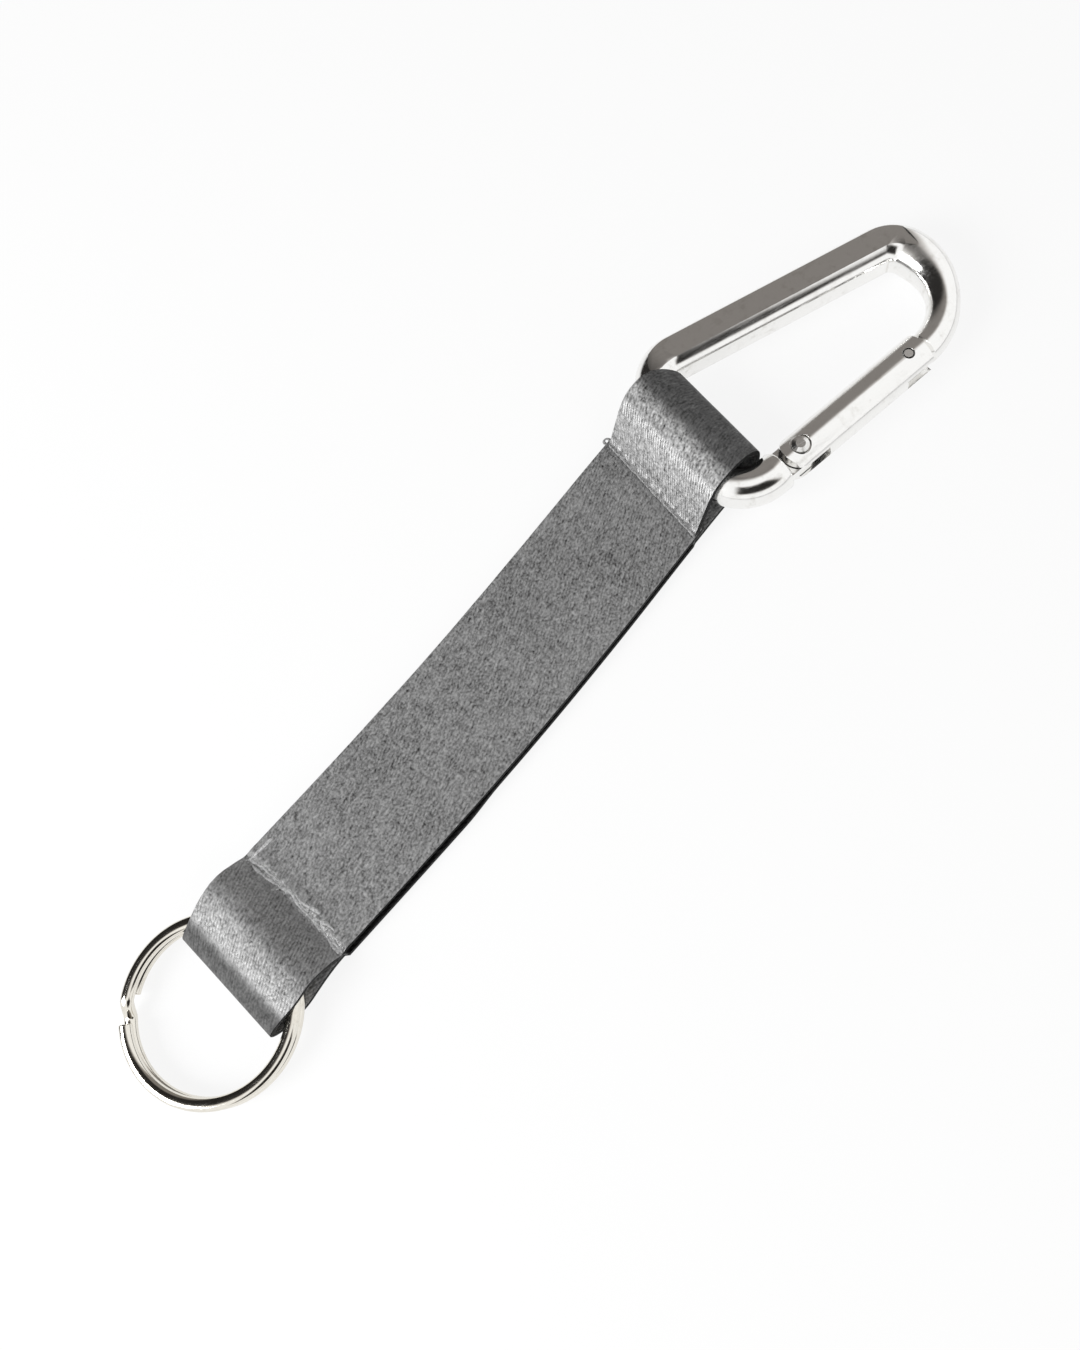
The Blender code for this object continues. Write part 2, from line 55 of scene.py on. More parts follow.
CLIP_FOLD_ROUND = 0.0046
RING_LOOP_REACH = 0.0172
RING_LOOP_SLACK = 0.0006
RING_FOLD_ROUND = 0.0030
CLIP_CREST_SHARE = 0.45
RING_CREST_SHARE = 0.42
CLIP_SHOULDER_POWER = 2.6
RING_SHOULDER_POWER = 2.4
CLIP_SKEW_SHARE = 0.20
RING_SKEW_SHARE = 0.05
CLIP_DRAW_SHARE = 0.17
RING_DRAW_START_SHARE = 0.5
RING_WRAP_SHARE = 0.70
CLIP_FOLD_SHIFT = -0.0027
RING_FOLD_SHIFT = -0.0017
BOW_SPAN = HALF_SPAN + RING_LOOP_REACH
BACK_LEVEL = PLY / 2
FRONT_LEVEL = BACK_LEVEL + PLY + PLY_GAP
FLAP_LEVEL = FRONT_LEVEL + PLY + PLY_GAP

# The strap's finer shape: bends of the loops' rise, the flap's cut end, the rounded selvedge, and the back
# ply's shift to one side
RAMP_FOOT_SHARE = 0.2
RAMP_CREST_SHARE = 0.5
CLIP_FOLD_POWER = 3.2
FLAP_INSET = 0.0010
FLAP_OVERHANG = 0.0002
SELVEDGE_ROUND = 0.00022
UNDER_SHIFT = 0.0002
UNDER_STEP = 0.0004
UNDER_STEP_END = -0.0190
UNDER_STEP_FADE = 0.0090

# Puckers at the ring's seam and waves of the flap's cut end and of the plies
SEAM_REACH = 0.0040
SEAM_DIP = 0.00022
SEAM_DIP_WIDTH = 0.0009
SEAM_SWELL = 0.00012
SEAM_SWELL_AT = 0.0019
SEAM_SWELL_WIDTH = 0.0008
PLY_WAVE = 0.00009
CUT_WAVE = 0.00016

# The clip seam's needle dents with their raised rims, their row past the seam, which is longer when it is
# measured along the rising webbing, and their places across it
DENT_DEPTH = 0.00038
DENT_RADIUS = 0.00045
DENT_RIM = 0.00010
DENT_RIM_RADIUS = 0.0009
DENT_RIM_WIDTH = 0.0004
NEEDLE_ROW = 0.0012
NEEDLE_ROW_LENGTH = 1.3 * NEEDLE_ROW
NEEDLE_PITCH = 0.0039
NEEDLE_COUNT = 6
NEEDLE_SHIFT = -0.0006

# Sewing thread: its size and flatness, how far it stands out of the webbing or sinks in, how far its ends
# dip and thin out, and the curl of its loose end
RING_THREAD_RADIUS = 0.00036
CLIP_THREAD_RADIUS = 0.00026
THREAD_FLATNESS = 0.55
THREAD_SIDES = 8
THREAD_PROUD = 0.00004
THREAD_SINK = 0.00012
THREAD_END_DIP = 0.0004
THREAD_END_SHARE = 0.3
CURL_STEPS = 14
CURL_RADIUS = 0.00062
CURL_TIGHTENING = 0.00016
CURL_OFF_CORNER = (0.0001, 0.0007, 0.0003)

# The webbing's tone: its mean, how far the weave changes it, the weave's pitch, the scale, detail and
# roughness of its noise, the painted shade in the needle dents and painted highlight on their rims, and the
# back ply's edge with its painted shade
WEAVE_TONE = 0.188
RIB_TONE = 0.014
DASH_TONE = 0.33
FLECK_TONE = 0.48
PATCH_TONE = 0.15
CLOUD_TONE = 0.25
WEAVE_ROUGHNESS = 0.38
TWILL_ALONG = 740.0
TWILL_ACROSS = 1660.0
TWILL_STRAY = 0.8
DASH_TURN = math.radians(16)
DASH_SIZE = (0.0012, 0.00048, 1.0)
STRAY_NOISE = (260.0, 1.0)
FLECK_NOISE = (2100.0, 1.0, 0.6)
PATCH_NOISE = (75.0, 3.0, 0.6)
CLOUD_NOISE = (520.0, 2.0, 0.5)
DENT_PAINTED_SHADE = 0.75
DENT_RIM_PAINTED_HIGHLIGHT = 0.10
BACK_EDGE_WIDTH = 0.0020
BACK_EDGE_PAINTED_SHADE = 0.93

# Painted shade and painted highlights on the loops' slopes and folds: middle along the webbing, change of
# tone, reach, added roughness and lost sheen, the last painted out as a dark metallic share.
# The flap's are counted from its cut edge, and the ring loop's from where its fold leaves the back ply.
FLAP_PAINTED_LIGHT = [(0.0050, 0.35, 0.0030, 0.0, 0.0),
             (0.0098, 0.42, 0.0050, 0.0, 0.0),
             (0.0128, 0.90, 0.0022, 0.0, 0.0),
             (0.0192, -0.54, 0.0085, 0.3, 0.5)]
RING_LOOP_PAINTED_LIGHT = [(0.0066, -0.60, 0.0042, 0.6, 0.15),
                  (0.0124, 0.60, 0.0036, 0.0, 0.0)]

# Sizes of the carabiner, as in the solids
ROD_RADIUS = 0.00375
SPINE_RADIUS = 0.00425
SPINE_FLAT_DEPTH = 0.00075
SPINE_FLAT_TILT = math.radians(8.0)
SPINE_SIDE_DEPTH = 0.00035
SPINE_OFFSET = 0.0287
SPINE_END = 0.0341
BAR_OFFSET = 0.0156
SPINE_CORNER_RADIUS = 0.0065
HINGE_CORNER_RADIUS = 0.0075
NOSE_RADIUS = 0.0053
NOSE_TURN = math.radians(66.0)
NECK_RADIUS = 0.0030
NECK_TAPER_SPEED = 1.6
GATE_ANGLE = math.radians(12.4)
END_CHAMFER = 0.0006
HINGE_SHOULDER = 0.0043
EAR_RADIUS = 0.0036
GATE_END_GAP = 0.0005
TANG_THICKNESS = 0.0026
TANG_RADIUS = 0.0028
TANG_HEEL = 0.0022
HINGE_SLOT_DEPTH = 0.0041
TONGUE_THICKNESS = 0.0024
TONGUE_HALF_HEIGHT = 0.0024
TONGUE_LENGTH = 0.0054
LATCH_SLOT_DEPTH = 0.0064
LATCH_PIN_RADIUS = 0.0008
LATCH_PIN_INSET = 0.0034
LATCH_NOTCH_CLEARANCE = 0.0004
RIVET_RADIUS = 0.0011
RIVET_HEAD_RADIUS = 0.0016
SPOT_FACE_DEPTH = 0.0007
BORE_RADIUS = 0.00135
BORE_OFFSET = 0.0010
BORE_END = 0.0160
CLIP_SEAT_SHARE = 0.717
CLIP_SWING_X = HALF_SPAN + CLIP_SEAT_SHARE * CLIP_LOOP_REACH
CLIP_SWING_Y = 0.0013
CLIP_SWING_OFFSET = 0.0020
CLIP_YAW = math.radians(-21.6)
CLIP_FOLD_LEVEL = PLY + CLIP_LOOP_SLACK + ROD_RADIUS
CLEARANCE = 0.0003
OVERRUN = 0.0010

# Fineness of the metal's round forms and its softened edges
MERGE = 0.000001
BAR_SIDES = 48
HOLE_SIDES = 32
SPINE_STEPS = 12
BODY_EDGE_WIDTH = 0.00016
GATE_EDGE_WIDTH = 0.00018

# Sizes of the split ring, as in the solids
RING_OUTER_RADIUS = 0.0162
RING_WIRE_WIDTH = 0.0023
RING_WIRE_HEIGHT = 0.0018
RING_TURN_GAP = 0.00012
RING_CROSS_ANGLE = math.radians(13.0)
RING_CROSS_AT = math.radians(130.0)
RING_END_ANGLE = math.radians(3.0)
RING_HEIGHT = 2 * RING_WIRE_HEIGHT + RING_TURN_GAP
RING_SEAT_SHARE = 0.322
RING_CENTRE_X = -(HALF_SPAN + RING_SEAT_SHARE * RING_LOOP_REACH + RING_OUTER_RADIUS)
RING_CENTRE_Y = -0.0003

# Fineness of the ring's sweep and its softened edges
RING_STEPS = 420
RING_SIDES = 28
RING_CORNER_POWER = 2.3
RING_EDGE_WIDTH = 0.00025

# The photograph's view
PHOTO_HEIGHT = 1350
FOCAL_PIXELS = 1168.14
VIEW_AZIMUTH = math.radians(-23.62)
VIEW_ELEVATION = math.radians(70.81)
VIEW_ROLL = math.radians(-27.0)
VIEW_DISTANCE = 0.2089
VIEW_TARGET = Vector((0.0096, -0.0051, 0.0))

# Length and breadth of the metal's faint scratches
SCRATCH_SIZE = (0.016, 0.00045, 0.00045)

# Light: the room's level for matt surfaces, its dark band's level direction, and the floor's own glow,
# which is dimmer in metal outside an oval round the object
ROOM_LEVEL = 0.42
DARK_BAND_WAY = (-0.375, -0.927)
WARM_SHADE = (1.0, 0.93, 0.87, 1.0)
FLOOR_GLOW_SHARE = 0.86
FLOOR_REACH = 1.5
FLOOR_DROP = 0.00002
DIM_FLOOR_ALONG = 70.0
DIM_FLOOR_ACROSS = 420.0
DIM_FLOOR_SHARE = 0.45


def view_axes():
    """Where the camera is from its target, and the picture's right and up."""
    back = Vector((math.sin(VIEW_AZIMUTH) * math.cos(VIEW_ELEVATION),
                   -math.cos(VIEW_AZIMUTH) * math.cos(VIEW_ELEVATION), math.sin(VIEW_ELEVATION)))
    level = (-back).cross(Vector((0, 0, 1))).normalized()
    rise = level.cross(-back)
    right = math.cos(VIEW_ROLL) * level + math.sin(VIEW_ROLL) * rise
    up = -math.sin(VIEW_ROLL) * level + math.cos(VIEW_ROLL) * rise
    return back, right, up


def make_camera():
    """The photograph's camera."""
    back, right, up = view_axes()
    data = bpy.data.cameras.new("camera")
    data.sensor_fit = "VERTICAL"
    data.sensor_height = 36.0
    data.lens = FOCAL_PIXELS / PHOTO_HEIGHT * data.sensor_height
    data.clip_start = 0.005
    data.clip_end = 20.0
    camera = bpy.data.objects.new("camera", data)
    bpy.context.scene.collection.objects.link(camera)
    turn = Matrix((right, up, back)).transposed().to_4x4()
    camera.matrix_world = Matrix.Translation(VIEW_TARGET + VIEW_DISTANCE * back) @ turn
    bpy.context.scene.camera = camera


# Node maths

class Term:
    """A value in a node tree, so that node maths reads as plain sums."""

    def __init__(self, tree, socket):
        self.tree, self.socket = tree, socket

    def node(self, kind, output=0, settings=None, **inputs):
        """Any other node, set first, its inputs given by name or, after an underscore, by number."""
        made = self.tree.nodes.new(kind)
        for name, value in (settings or {}).items():
            setattr(made, name, value)
        for name, value in inputs.items():
            key = int(name[1:]) if name[0] == "_" else name
            if isinstance(value, Term):
                self.tree.links.new(value.socket, made.inputs[key])
            else:
                made.inputs[key].default_value = value
        return Term(self.tree, made.outputs[output])

    def maths(self, operation, first, second=0.0):
        return self.node("ShaderNodeMath", settings={"operation": operation}, _0=first, _1=second)

    def __add__(self, other):
        return self.maths("ADD", self, other)

    def __radd__(self, other):
        return self.maths("ADD", other, self)

    def __sub__(self, other):
        return self.maths("SUBTRACT", self, other)

    def __rsub__(self, other):
        return self.maths("SUBTRACT", other, self)

    def __mul__(self, other):
        return self.maths("MULTIPLY", self, other)

    def __rmul__(self, other):
        return self.maths("MULTIPLY", other, self)

    def __truediv__(self, other):
        return self.maths("DIVIDE", self, other)

    def size(self):
        """This value without its sign."""
        return self.maths("ABSOLUTE", self)

    def most(self, other):
        """The larger of this value and another."""
        return self.maths("MAXIMUM", self, other)

    def wave(self):
        """A sine of so many turns."""
        return self.maths("SINE", self * math.tau)

    def step(self, low, high):
        """A smooth step from 0 to 1 between two values."""
        return self.node("ShaderNodeMapRange", settings={"interpolation_type": "SMOOTHSTEP"},
                         Value=self, _1=low, _2=high)

    def mix(self, colour, other):
        """This share of the way from one colour to another."""
        return self.node("ShaderNodeMix", 2, {"data_type": "RGBA"}, _0=self, _6=colour, _7=other)

    def parts(self):
        """The three parts of a vector."""
        first = self.node("ShaderNodeSeparateXYZ", _0=self)
        return [Term(self.tree, socket) for socket in first.socket.node.outputs]

    def ray(self, kind):
        """1 for rays of one kind, such as Camera, and 0 for all others."""
        return self.node("ShaderNodeLightPath", f"Is {kind} Ray")

    def stretch(self, turn, sizes):
        """This vector along axes turned about Z, counted in these sizes."""
        return self.node("ShaderNodeMapping", settings={"vector_type": "TEXTURE"}, Vector=self,
                         Rotation=(0, 0, turn), Scale=sizes)

    def noise(self, scale, detail=2.0, roughness=0.5):
        """Soft noise from 0 to 1 over this vector."""
        return self.node("ShaderNodeTexNoise", Vector=self, Scale=scale, Detail=detail,
                         Roughness=roughness)


def new_material(name, roughness=0.5, metallic=0.0):
    """A material, its shader node, and the place that its nodes start from."""
    surface = bpy.data.materials.new(name)
    surface.use_nodes = True
    tree = surface.node_tree
    shader = tree.nodes["Principled BSDF"]
    shader.inputs["Roughness"].default_value = roughness
    shader.inputs["Metallic"].default_value = metallic
    place = Term(tree, tree.nodes.new("ShaderNodeTexCoord").outputs["Object"])
    return surface, shader, place


def link(shader, name, term):
    """Let a value drive one of a shader's sockets."""
    term.tree.links.new(term.socket, shader.inputs[name])


def bump(shader, height, distance, strength=1.0):
    """Let a height shade the surface."""
    made = height.node("ShaderNodeBump", Height=height, Distance=distance, Strength=strength)
    link(shader, "Normal", made)


def grey(value):
    """A colour of three equal parts."""
    return value, value, value, 1.0


def webbing_material(painted_light_marks, back_ply, needle):
    """Satin webbing with a slanting weave, flecks and soft patches.

    It has painted shade and highlights on the loops' slopes and folds, painted shade in the needle dents
    and painted highlights on their rims, and nearly black painted shade on the back ply's right edge.
    """
    surface, shader, place = new_material("webbing", WEAVE_ROUGHNESS)
    shader.inputs["IOR"].default_value = 1.6
    shader.inputs["Specular IOR Level"].default_value = 1.0
    shader.inputs["Sheen Weight"].default_value = 0.05
    shader.inputs["Sheen Roughness"].default_value = 0.4
    weave = place.node("ShaderNodeUVMap")
    along, across = weave.parts()[:2]
    stray = TWILL_STRAY * weave.noise(*STRAY_NOISE)
    twill = across * TWILL_ACROSS - along * TWILL_ALONG + stray
    rib = twill.wave()
    dash = weave.stretch(DASH_TURN, DASH_SIZE).noise(1.0, 1.0)
    fleck = weave.noise(*FLECK_NOISE)
    patch = weave.noise(*PATCH_NOISE)
    cloud = weave.noise(*CLOUD_NOISE)
    light = WEAVE_TONE + RIB_TONE * rib + DASH_TONE * (dash - 0.5) + FLECK_TONE * (fleck - 0.5)
    light = light + PATCH_TONE * (patch - 0.5) + CLOUD_TONE * (cloud - 0.5)
    rough = WEAVE_ROUGHNESS + 0.25 * (fleck - 0.5) + 0.1 * (patch - 0.5)
    hidden = 0.0
    # Painted shade and painted highlights along the loops' slopes and folds, which also paint out the sheen
    # there
    for middle, gain, reach, dull, hide in painted_light_marks:
        near = 1.0 - (along - middle).size().step(0.3 * reach, reach)
        light = light * (1.0 + gain * near)
        rough = rough + dull * near
        hidden = hidden + hide * near
    # Painted shade, nearly black, on the back ply's right edge, with a dark metallic share that paints out
    # its sheen
    first, last = back_ply
    back = along.step(first, first + 0.001) * (1.0 - along.step(last - 0.001, last))
    edge_painted_shade = back * (1.0 - across.step(0.6 * BACK_EDGE_WIDTH, BACK_EDGE_WIDTH))
    light = light * (1.0 - BACK_EDGE_PAINTED_SHADE * edge_painted_shade)
    link(shader, "Metallic", edge_painted_shade + hidden)
    # Painted shade in the needle dents and a painted highlight on their raised rims
    turn = (across - needle[1]) / NEEDLE_PITCH
    aside = (turn - turn.maths("ROUND", turn)) * NEEDLE_PITCH
    off = along - needle[0]
    square_millimetres = (aside * aside + off * off) * 1.0e6
    dent = 1.0 - square_millimetres.step(0.05, 0.20)
    rim = square_millimetres.step(0.20, 0.40) * (1.0 - square_millimetres.step(0.5, 1.0))
    light = light * (1.0 - DENT_PAINTED_SHADE * dent) + DENT_RIM_PAINTED_HIGHLIGHT * rim
    link(shader, "Base Color", light.mix(grey(0.0), grey(1.0)))
    link(shader, "Roughness", rough)
    bump(shader, 0.35 * rib + 1.4 * dash + 1.2 * fleck + 2.6 * cloud, 0.00005, 0.8)
    return surface


def selvedge_material():
    """The webbing's side faces: yarn in nearly black painted shade, and pale where the flap is cut."""
    surface, shader, place = new_material("selvedge", 0.8)
    shader.inputs["Specular IOR Level"].default_value = 0.15
    weave = place.node("ShaderNodeUVMap")
    yarn = weave.noise(1800.0, 2.0)
    strand = yarn.step(0.35, 0.65)
    cut = 1.0 - weave.parts()[0].step(0.0001, 0.0004)
    # Painted shade, nearly black, on the side faces
    painted_dark_side = strand.mix(grey(0.006), grey(0.03))
    fibres = strand.mix(grey(0.16), grey(0.46))
    link(shader, "Base Color", cut.mix(painted_dark_side, fibres))
    bump(shader, yarn, 0.0001)
    return surface


def thread_material(name, low, high):
    """Sewing thread between a darker and a paler tone of grey."""
    surface, shader, place = new_material(name, 0.6)
    shader.inputs["Sheen Weight"].default_value = 0.1
    ply = place.noise(2500.0, 2.0)
    link(shader, "Base Color", ply.step(0.35, 0.65).mix(grey(low), grey(high)))
    bump(shader, ply, 0.00006)
    return surface


def metal_material(name, colour, dark, roughness, grain=1.0):
    """Polished metal with faint scratches, soft haze and a little grime."""
    surface, shader, place = new_material(name, roughness, 1.0)
    haze = place.noise(160.0, 3.0)
    grime = place.noise(420.0, 4.0, 0.7)
    scratch = place.stretch(CLIP_YAW, SCRATCH_SIZE).noise(1.0, 3.0, 0.7)
    dirt = grime.step(0.50, 0.80) * 0.5
    link(shader, "Base Color", dirt.mix((*colour, 1.0), (*dark, 1.0)))
    uneven = 0.10 * grain
    link(shader, "Roughness", roughness + uneven * (haze - 0.5) + uneven * scratch.step(0.45, 0.75))
    bump(shader, scratch * 0.5 + grime, 0.000012 * grain, 0.35)
    return surface


def floor_material():
    """A white floor that keeps the object's soft shadow and looks darker in metal away from the object."""
    surface, shader, place = new_material("white_floor", 0.7)
    grain = place.noise(40.0, 2.0)
    link(shader, "Base Color", grain.mix(grey(0.90), grey(0.92)))
    shader.inputs["Specular IOR Level"].default_value = 0.0
    glossy = place.ray("Glossy")
    seen = place.ray("Camera").most(glossy).most(place.ray("Transmission")) * FLOOR_GLOW_SHARE
    along, across = place.parts()[:2]
    away = along * along * DIM_FLOOR_ALONG + across * across * DIM_FLOOR_ACROSS
    strength = 1.0 - glossy * DIM_FLOOR_SHARE * away.step(0.8, 6.0)
    glow = place.node("ShaderNodeEmission", Strength=strength)
    matt = Term(place.tree, shader.outputs[0])
    blend = place.node("ShaderNodeMixShader", _0=seen, _1=matt, _2=glow)
    link(place.tree.nodes["Material Output"], "Surface", blend)
    return surface


def make_world():
    """A white room that gloss sees as dim on the far side, with a dark band that the spine mirrors."""
    world = bpy.data.worlds.new("room")
    world.use_nodes = True
    bpy.context.scene.world = world
    tree = world.node_tree
    background = tree.nodes["Background"]
    way = Term(tree, tree.nodes.new("ShaderNodeTexCoord").outputs["Generated"])
    right, up = view_axes()[1:]
    bright_side = tuple((right - up).normalized())
    side = way.node("ShaderNodeVectorMath", 1, {"operation": "DOT_PRODUCT"}, _0=way, _1=bright_side)
    far, beside, height = way.parts()
    level_part = way.maths("SQRT", 1.0001 - height * height)
    toward = (far * DARK_BAND_WAY[0] + beside * DARK_BAND_WAY[1]) / level_part
    band = toward.step(0.76, 0.85) * height.step(0.36, 0.50) * (1.0 - height.step(0.88, 0.94))
    bright = side.step(-0.52, -0.28) * (1.0 - band)
    low = (1.0 - height.step(0.02, 0.30)) * side.step(-0.6, -0.1)
    lit = bright.most(0.85 * low)
    dim = 0.02 + 0.21 * far.step(0.20, 0.50)
    gloss = dim + lit * (1.05 - dim)
    glossy = way.ray("Glossy")
    level = ROOM_LEVEL + glossy * (gloss - ROOM_LEVEL)
    level = level + way.ray("Camera") * (1.0 - level)
    tint = (glossy * (1.0 - lit)).mix(grey(1.0), WARM_SHADE)
    link(background, "Color", tint)
    link(background, "Strength", level)


def make_lamp(name, way, distance, size, power, shine):
    """A soft square lamp that looks at the origin; shine says if gloss shows it."""
    data = bpy.data.lights.new(name, "AREA")
    data.shape = "SQUARE"
    data.size = size
    data.energy = power
    lamp = bpy.data.objects.new(name, data)
    bpy.context.scene.collection.objects.link(lamp)
    way = Vector(way).normalized()
    lamp.location = distance * way
    lamp.rotation_euler = way.to_track_quat("Z", "Y").to_euler()
    lamp.visible_glossy = shine


def make_floor():
    """A wide white floor just under the object."""
    def build(bm):
        bmesh.ops.create_grid(bm, x_segments=8, y_segments=8, size=FLOOR_REACH)
        bmesh.ops.translate(bm, verts=bm.verts, vec=(0, 0, -FLOOR_DROP))
    floor = mesh_object("floor", build, smooth=False)
    bpy.context.scene.collection.objects.link(floor)
    floor.data.materials.append(floor_material())


# Mesh helpers

def show(obj, materials, body, node=None):
    """Add a finished piece that rides on a body and may stand for a solid."""
    bpy.context.scene.collection.objects.link(obj)
    for surface in materials:
        obj.data.materials.append(surface)
    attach(obj, body)
    if node:
        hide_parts(node)
    return obj


def mesh_object(name, build, smooth=True, angle=35.0):
    """An object with the mesh that a function builds."""
    mesh = bpy.data.meshes.new(name)
    bm = bmesh.new()
    build(bm)
    bm.to_mesh(mesh)
    bm.free()
    if smooth:
        mesh.shade_smooth()
        mesh.set_sharp_from_angle(angle=math.radians(angle))
    return bpy.data.objects.new(name, mesh)


def box(name, low, high):
    """A box between two corners."""
    def build(bm):
        bmesh.ops.create_cube(bm, size=1.0)
        for vert in bm.verts:
            vert.co = [a + (b - a) * (value + 0.5) for a, b, value in zip(low, high, vert.co)]
    return mesh_object(name, build, smooth=False)


def round_bar(name, radius, start, end, axis="Z", sides=BAR_SIDES):
    """A round bar about Z or X."""
    def build(bm):
        bmesh.ops.create_cone(bm, cap_ends=True, segments=sides, radius1=radius, radius2=radius,
                              depth=end - start)
        bmesh.ops.translate(bm, verts=bm.verts, vec=(0, 0, (start + end) / 2))
        if axis == "X":
            for vert in bm.verts:
                vert.co = (vert.co.z, vert.co.y, -vert.co.x)
    return mesh_object(name, build)


def laid_grid(bm, rows):
    """A grid of faces with its corners laid on rows of places."""
    made = bmesh.ops.create_grid(bm, x_segments=len(rows[0]) - 1, y_segments=len(rows) - 1, size=1.0)
    places = [place for row in rows for place in row]
    for vert, place in zip(made["verts"], places):
        vert.co = place


def sweep(bm, points, outline, up=Vector((0, 0, 1)), shares=None):
    """An open skin of one outline along points, kept upright and scaled by its shares."""
    rows = []
    for index, point in enumerate(points):
        before, after = points[max(index - 1, 0)], points[min(index + 1, len(points) - 1)]
        along = (Vector(after) - Vector(before)).normalized()
        side = along.cross(up).normalized()
        rise = side.cross(along)
        share = 1.0 if shares is None else shares[index]
        rows.append([Vector(point) + share * (a * side + b * rise) for a, b in outline + outline[:1]])
    laid_grid(bm, rows)


def close_skins(bm):
    """Merge each skin's two long edges, cap its ends and turn its faces outwards."""
    bmesh.ops.remove_doubles(bm, verts=bm.verts, dist=MERGE)
    bmesh.ops.holes_fill(bm, edges=[edge for edge in bm.edges if edge.is_boundary])
    bmesh.ops.recalc_face_normals(bm, faces=bm.faces)


def oval(width, height, sides, power=2.0):
    """A closed outline from a round one to a box with round corners, as power goes up."""
    outline = []
    for index in range(sides):
        angle = math.tau * (index + 0.5) / sides
        c, s = math.cos(angle), math.sin(angle)
        grow = (abs(c) ** power + abs(s) ** power) ** (-1 / power)
        outline.append((width / 2 * c * grow, height / 2 * s * grow))
    return outline


def tube(name, points, radius, shares):
    """A round rod along points, its thickness scaled by its shares."""
    def build(bm):
        sweep(bm, points, oval(2 * radius, 2 * radius, BAR_SIDES), shares=shares)
        close_skins(bm)
    return mesh_object(name, build)


class Solid:
    """A piece cut from hidden tools in its own frame and then set in its place."""

    def __init__(self, obj):
        self.obj, self.tools = obj, []
        bpy.context.scene.collection.objects.link(obj)

    def cut(self, tool, matrix=None, operation="DIFFERENCE"):
        bpy.context.scene.collection.objects.link(tool)
        if matrix is not None:
            tool.data.transform(matrix)
        step = self.obj.modifiers.new(tool.name, "BOOLEAN")
        step.operation = operation
        step.solver = "EXACT"
        step.object = tool
        self.tools.append(tool)

    def done(self, name, matrix, angle=32.0):
        """The finished mesh, placed by one matrix, on a new object at the origin."""
        bpy.context.view_layer.update()
        evaluated = self.obj.evaluated_get(bpy.context.evaluated_depsgraph_get())
        mesh = bpy.data.meshes.new_from_object(evaluated)
        mesh.name = name
        mesh.transform(matrix)
        mesh.materials.clear()
        mesh.shade_smooth()
        mesh.set_sharp_from_angle(angle=math.radians(angle))
        for obj in [self.obj] + self.tools:
            bpy.data.objects.remove(obj, do_unlink=True)
        return bpy.data.objects.new(name, mesh)


def soften(obj, width, segments=2, angle=32.0):
    """Break a metal piece's sharp edges."""
    edge = obj.modifiers.new("edges", "BEVEL")
    edge.width = width
    edge.segments = segments
    edge.limit_method = "ANGLE"
    edge.angle_limit = math.radians(angle)
    edge.use_clamp_overlap = True
    edge.harden_normals = True


def arc(centre, radius, start, end, step=math.radians(3.0)):
    """Points along an arc, no more than one step apart."""
    count = max(2, math.ceil(abs(end - start) / step))
    angles = [start + (end - start) * index / count for index in range(count + 1)]
    return [(centre[0] + radius * math.cos(a), centre[1] + radius * math.sin(a)) for a in angles]


def ease(value):
    """A smooth step from 0 to 1, held outside them."""
    value = min(1.0, max(0.0, value))
    return value * value * (3 - 2 * value)


def ramp(value):
    """A straight rise from 0 to 1 with a short bend at its foot and a long one at its crest."""
    slope = 1 / (1 - RAMP_FOOT_SHARE / 2 - RAMP_CREST_SHARE / 2)
    if value < RAMP_FOOT_SHARE:
        return slope * value ** 2 / (2 * RAMP_FOOT_SHARE)
    if value > 1 - RAMP_CREST_SHARE:
        return 1 - slope * (1 - value) ** 2 / (2 * RAMP_CREST_SHARE)
    return slope * (value - RAMP_FOOT_SHARE / 2)


# Webbing strap

RISE_STATIONS = 30
SPAN_STATIONS = 150
BACK_STATIONS = 20
TUCK_STATIONS = 4
WEBBING_COLUMNS = 72


def loop_run(seam, reach, level, height, crest_share, power, fold_round, sign):
    """One ply from a seam, up to the loop's crest, down its shoulder and round its fold to the back ply."""
    crest = crest_share * reach
    top = height - PLY / 2
    fold = reach - PLY / 2
    drop = (top - BACK_LEVEL) / 2
    run = []
    for index in range(RISE_STATIONS):
        share = index / RISE_STATIONS
        run.append((seam + sign * crest * share, level + (top - level) * ramp(share)))
    quarter = math.radians(90)
    for x, z in arc((0, 0), 1.0, quarter, -quarter, math.radians(5)):
        width = fold - crest if z > 0 else fold_round
        bend = power if z > 0 else 2
        out = abs(x) ** (2 / bend)
        rise = math.copysign(abs(z) ** (2 / bend), z)
        run.append((seam + sign * (fold - width + width * out), BACK_LEVEL + drop * (1 + rise)))
    return run


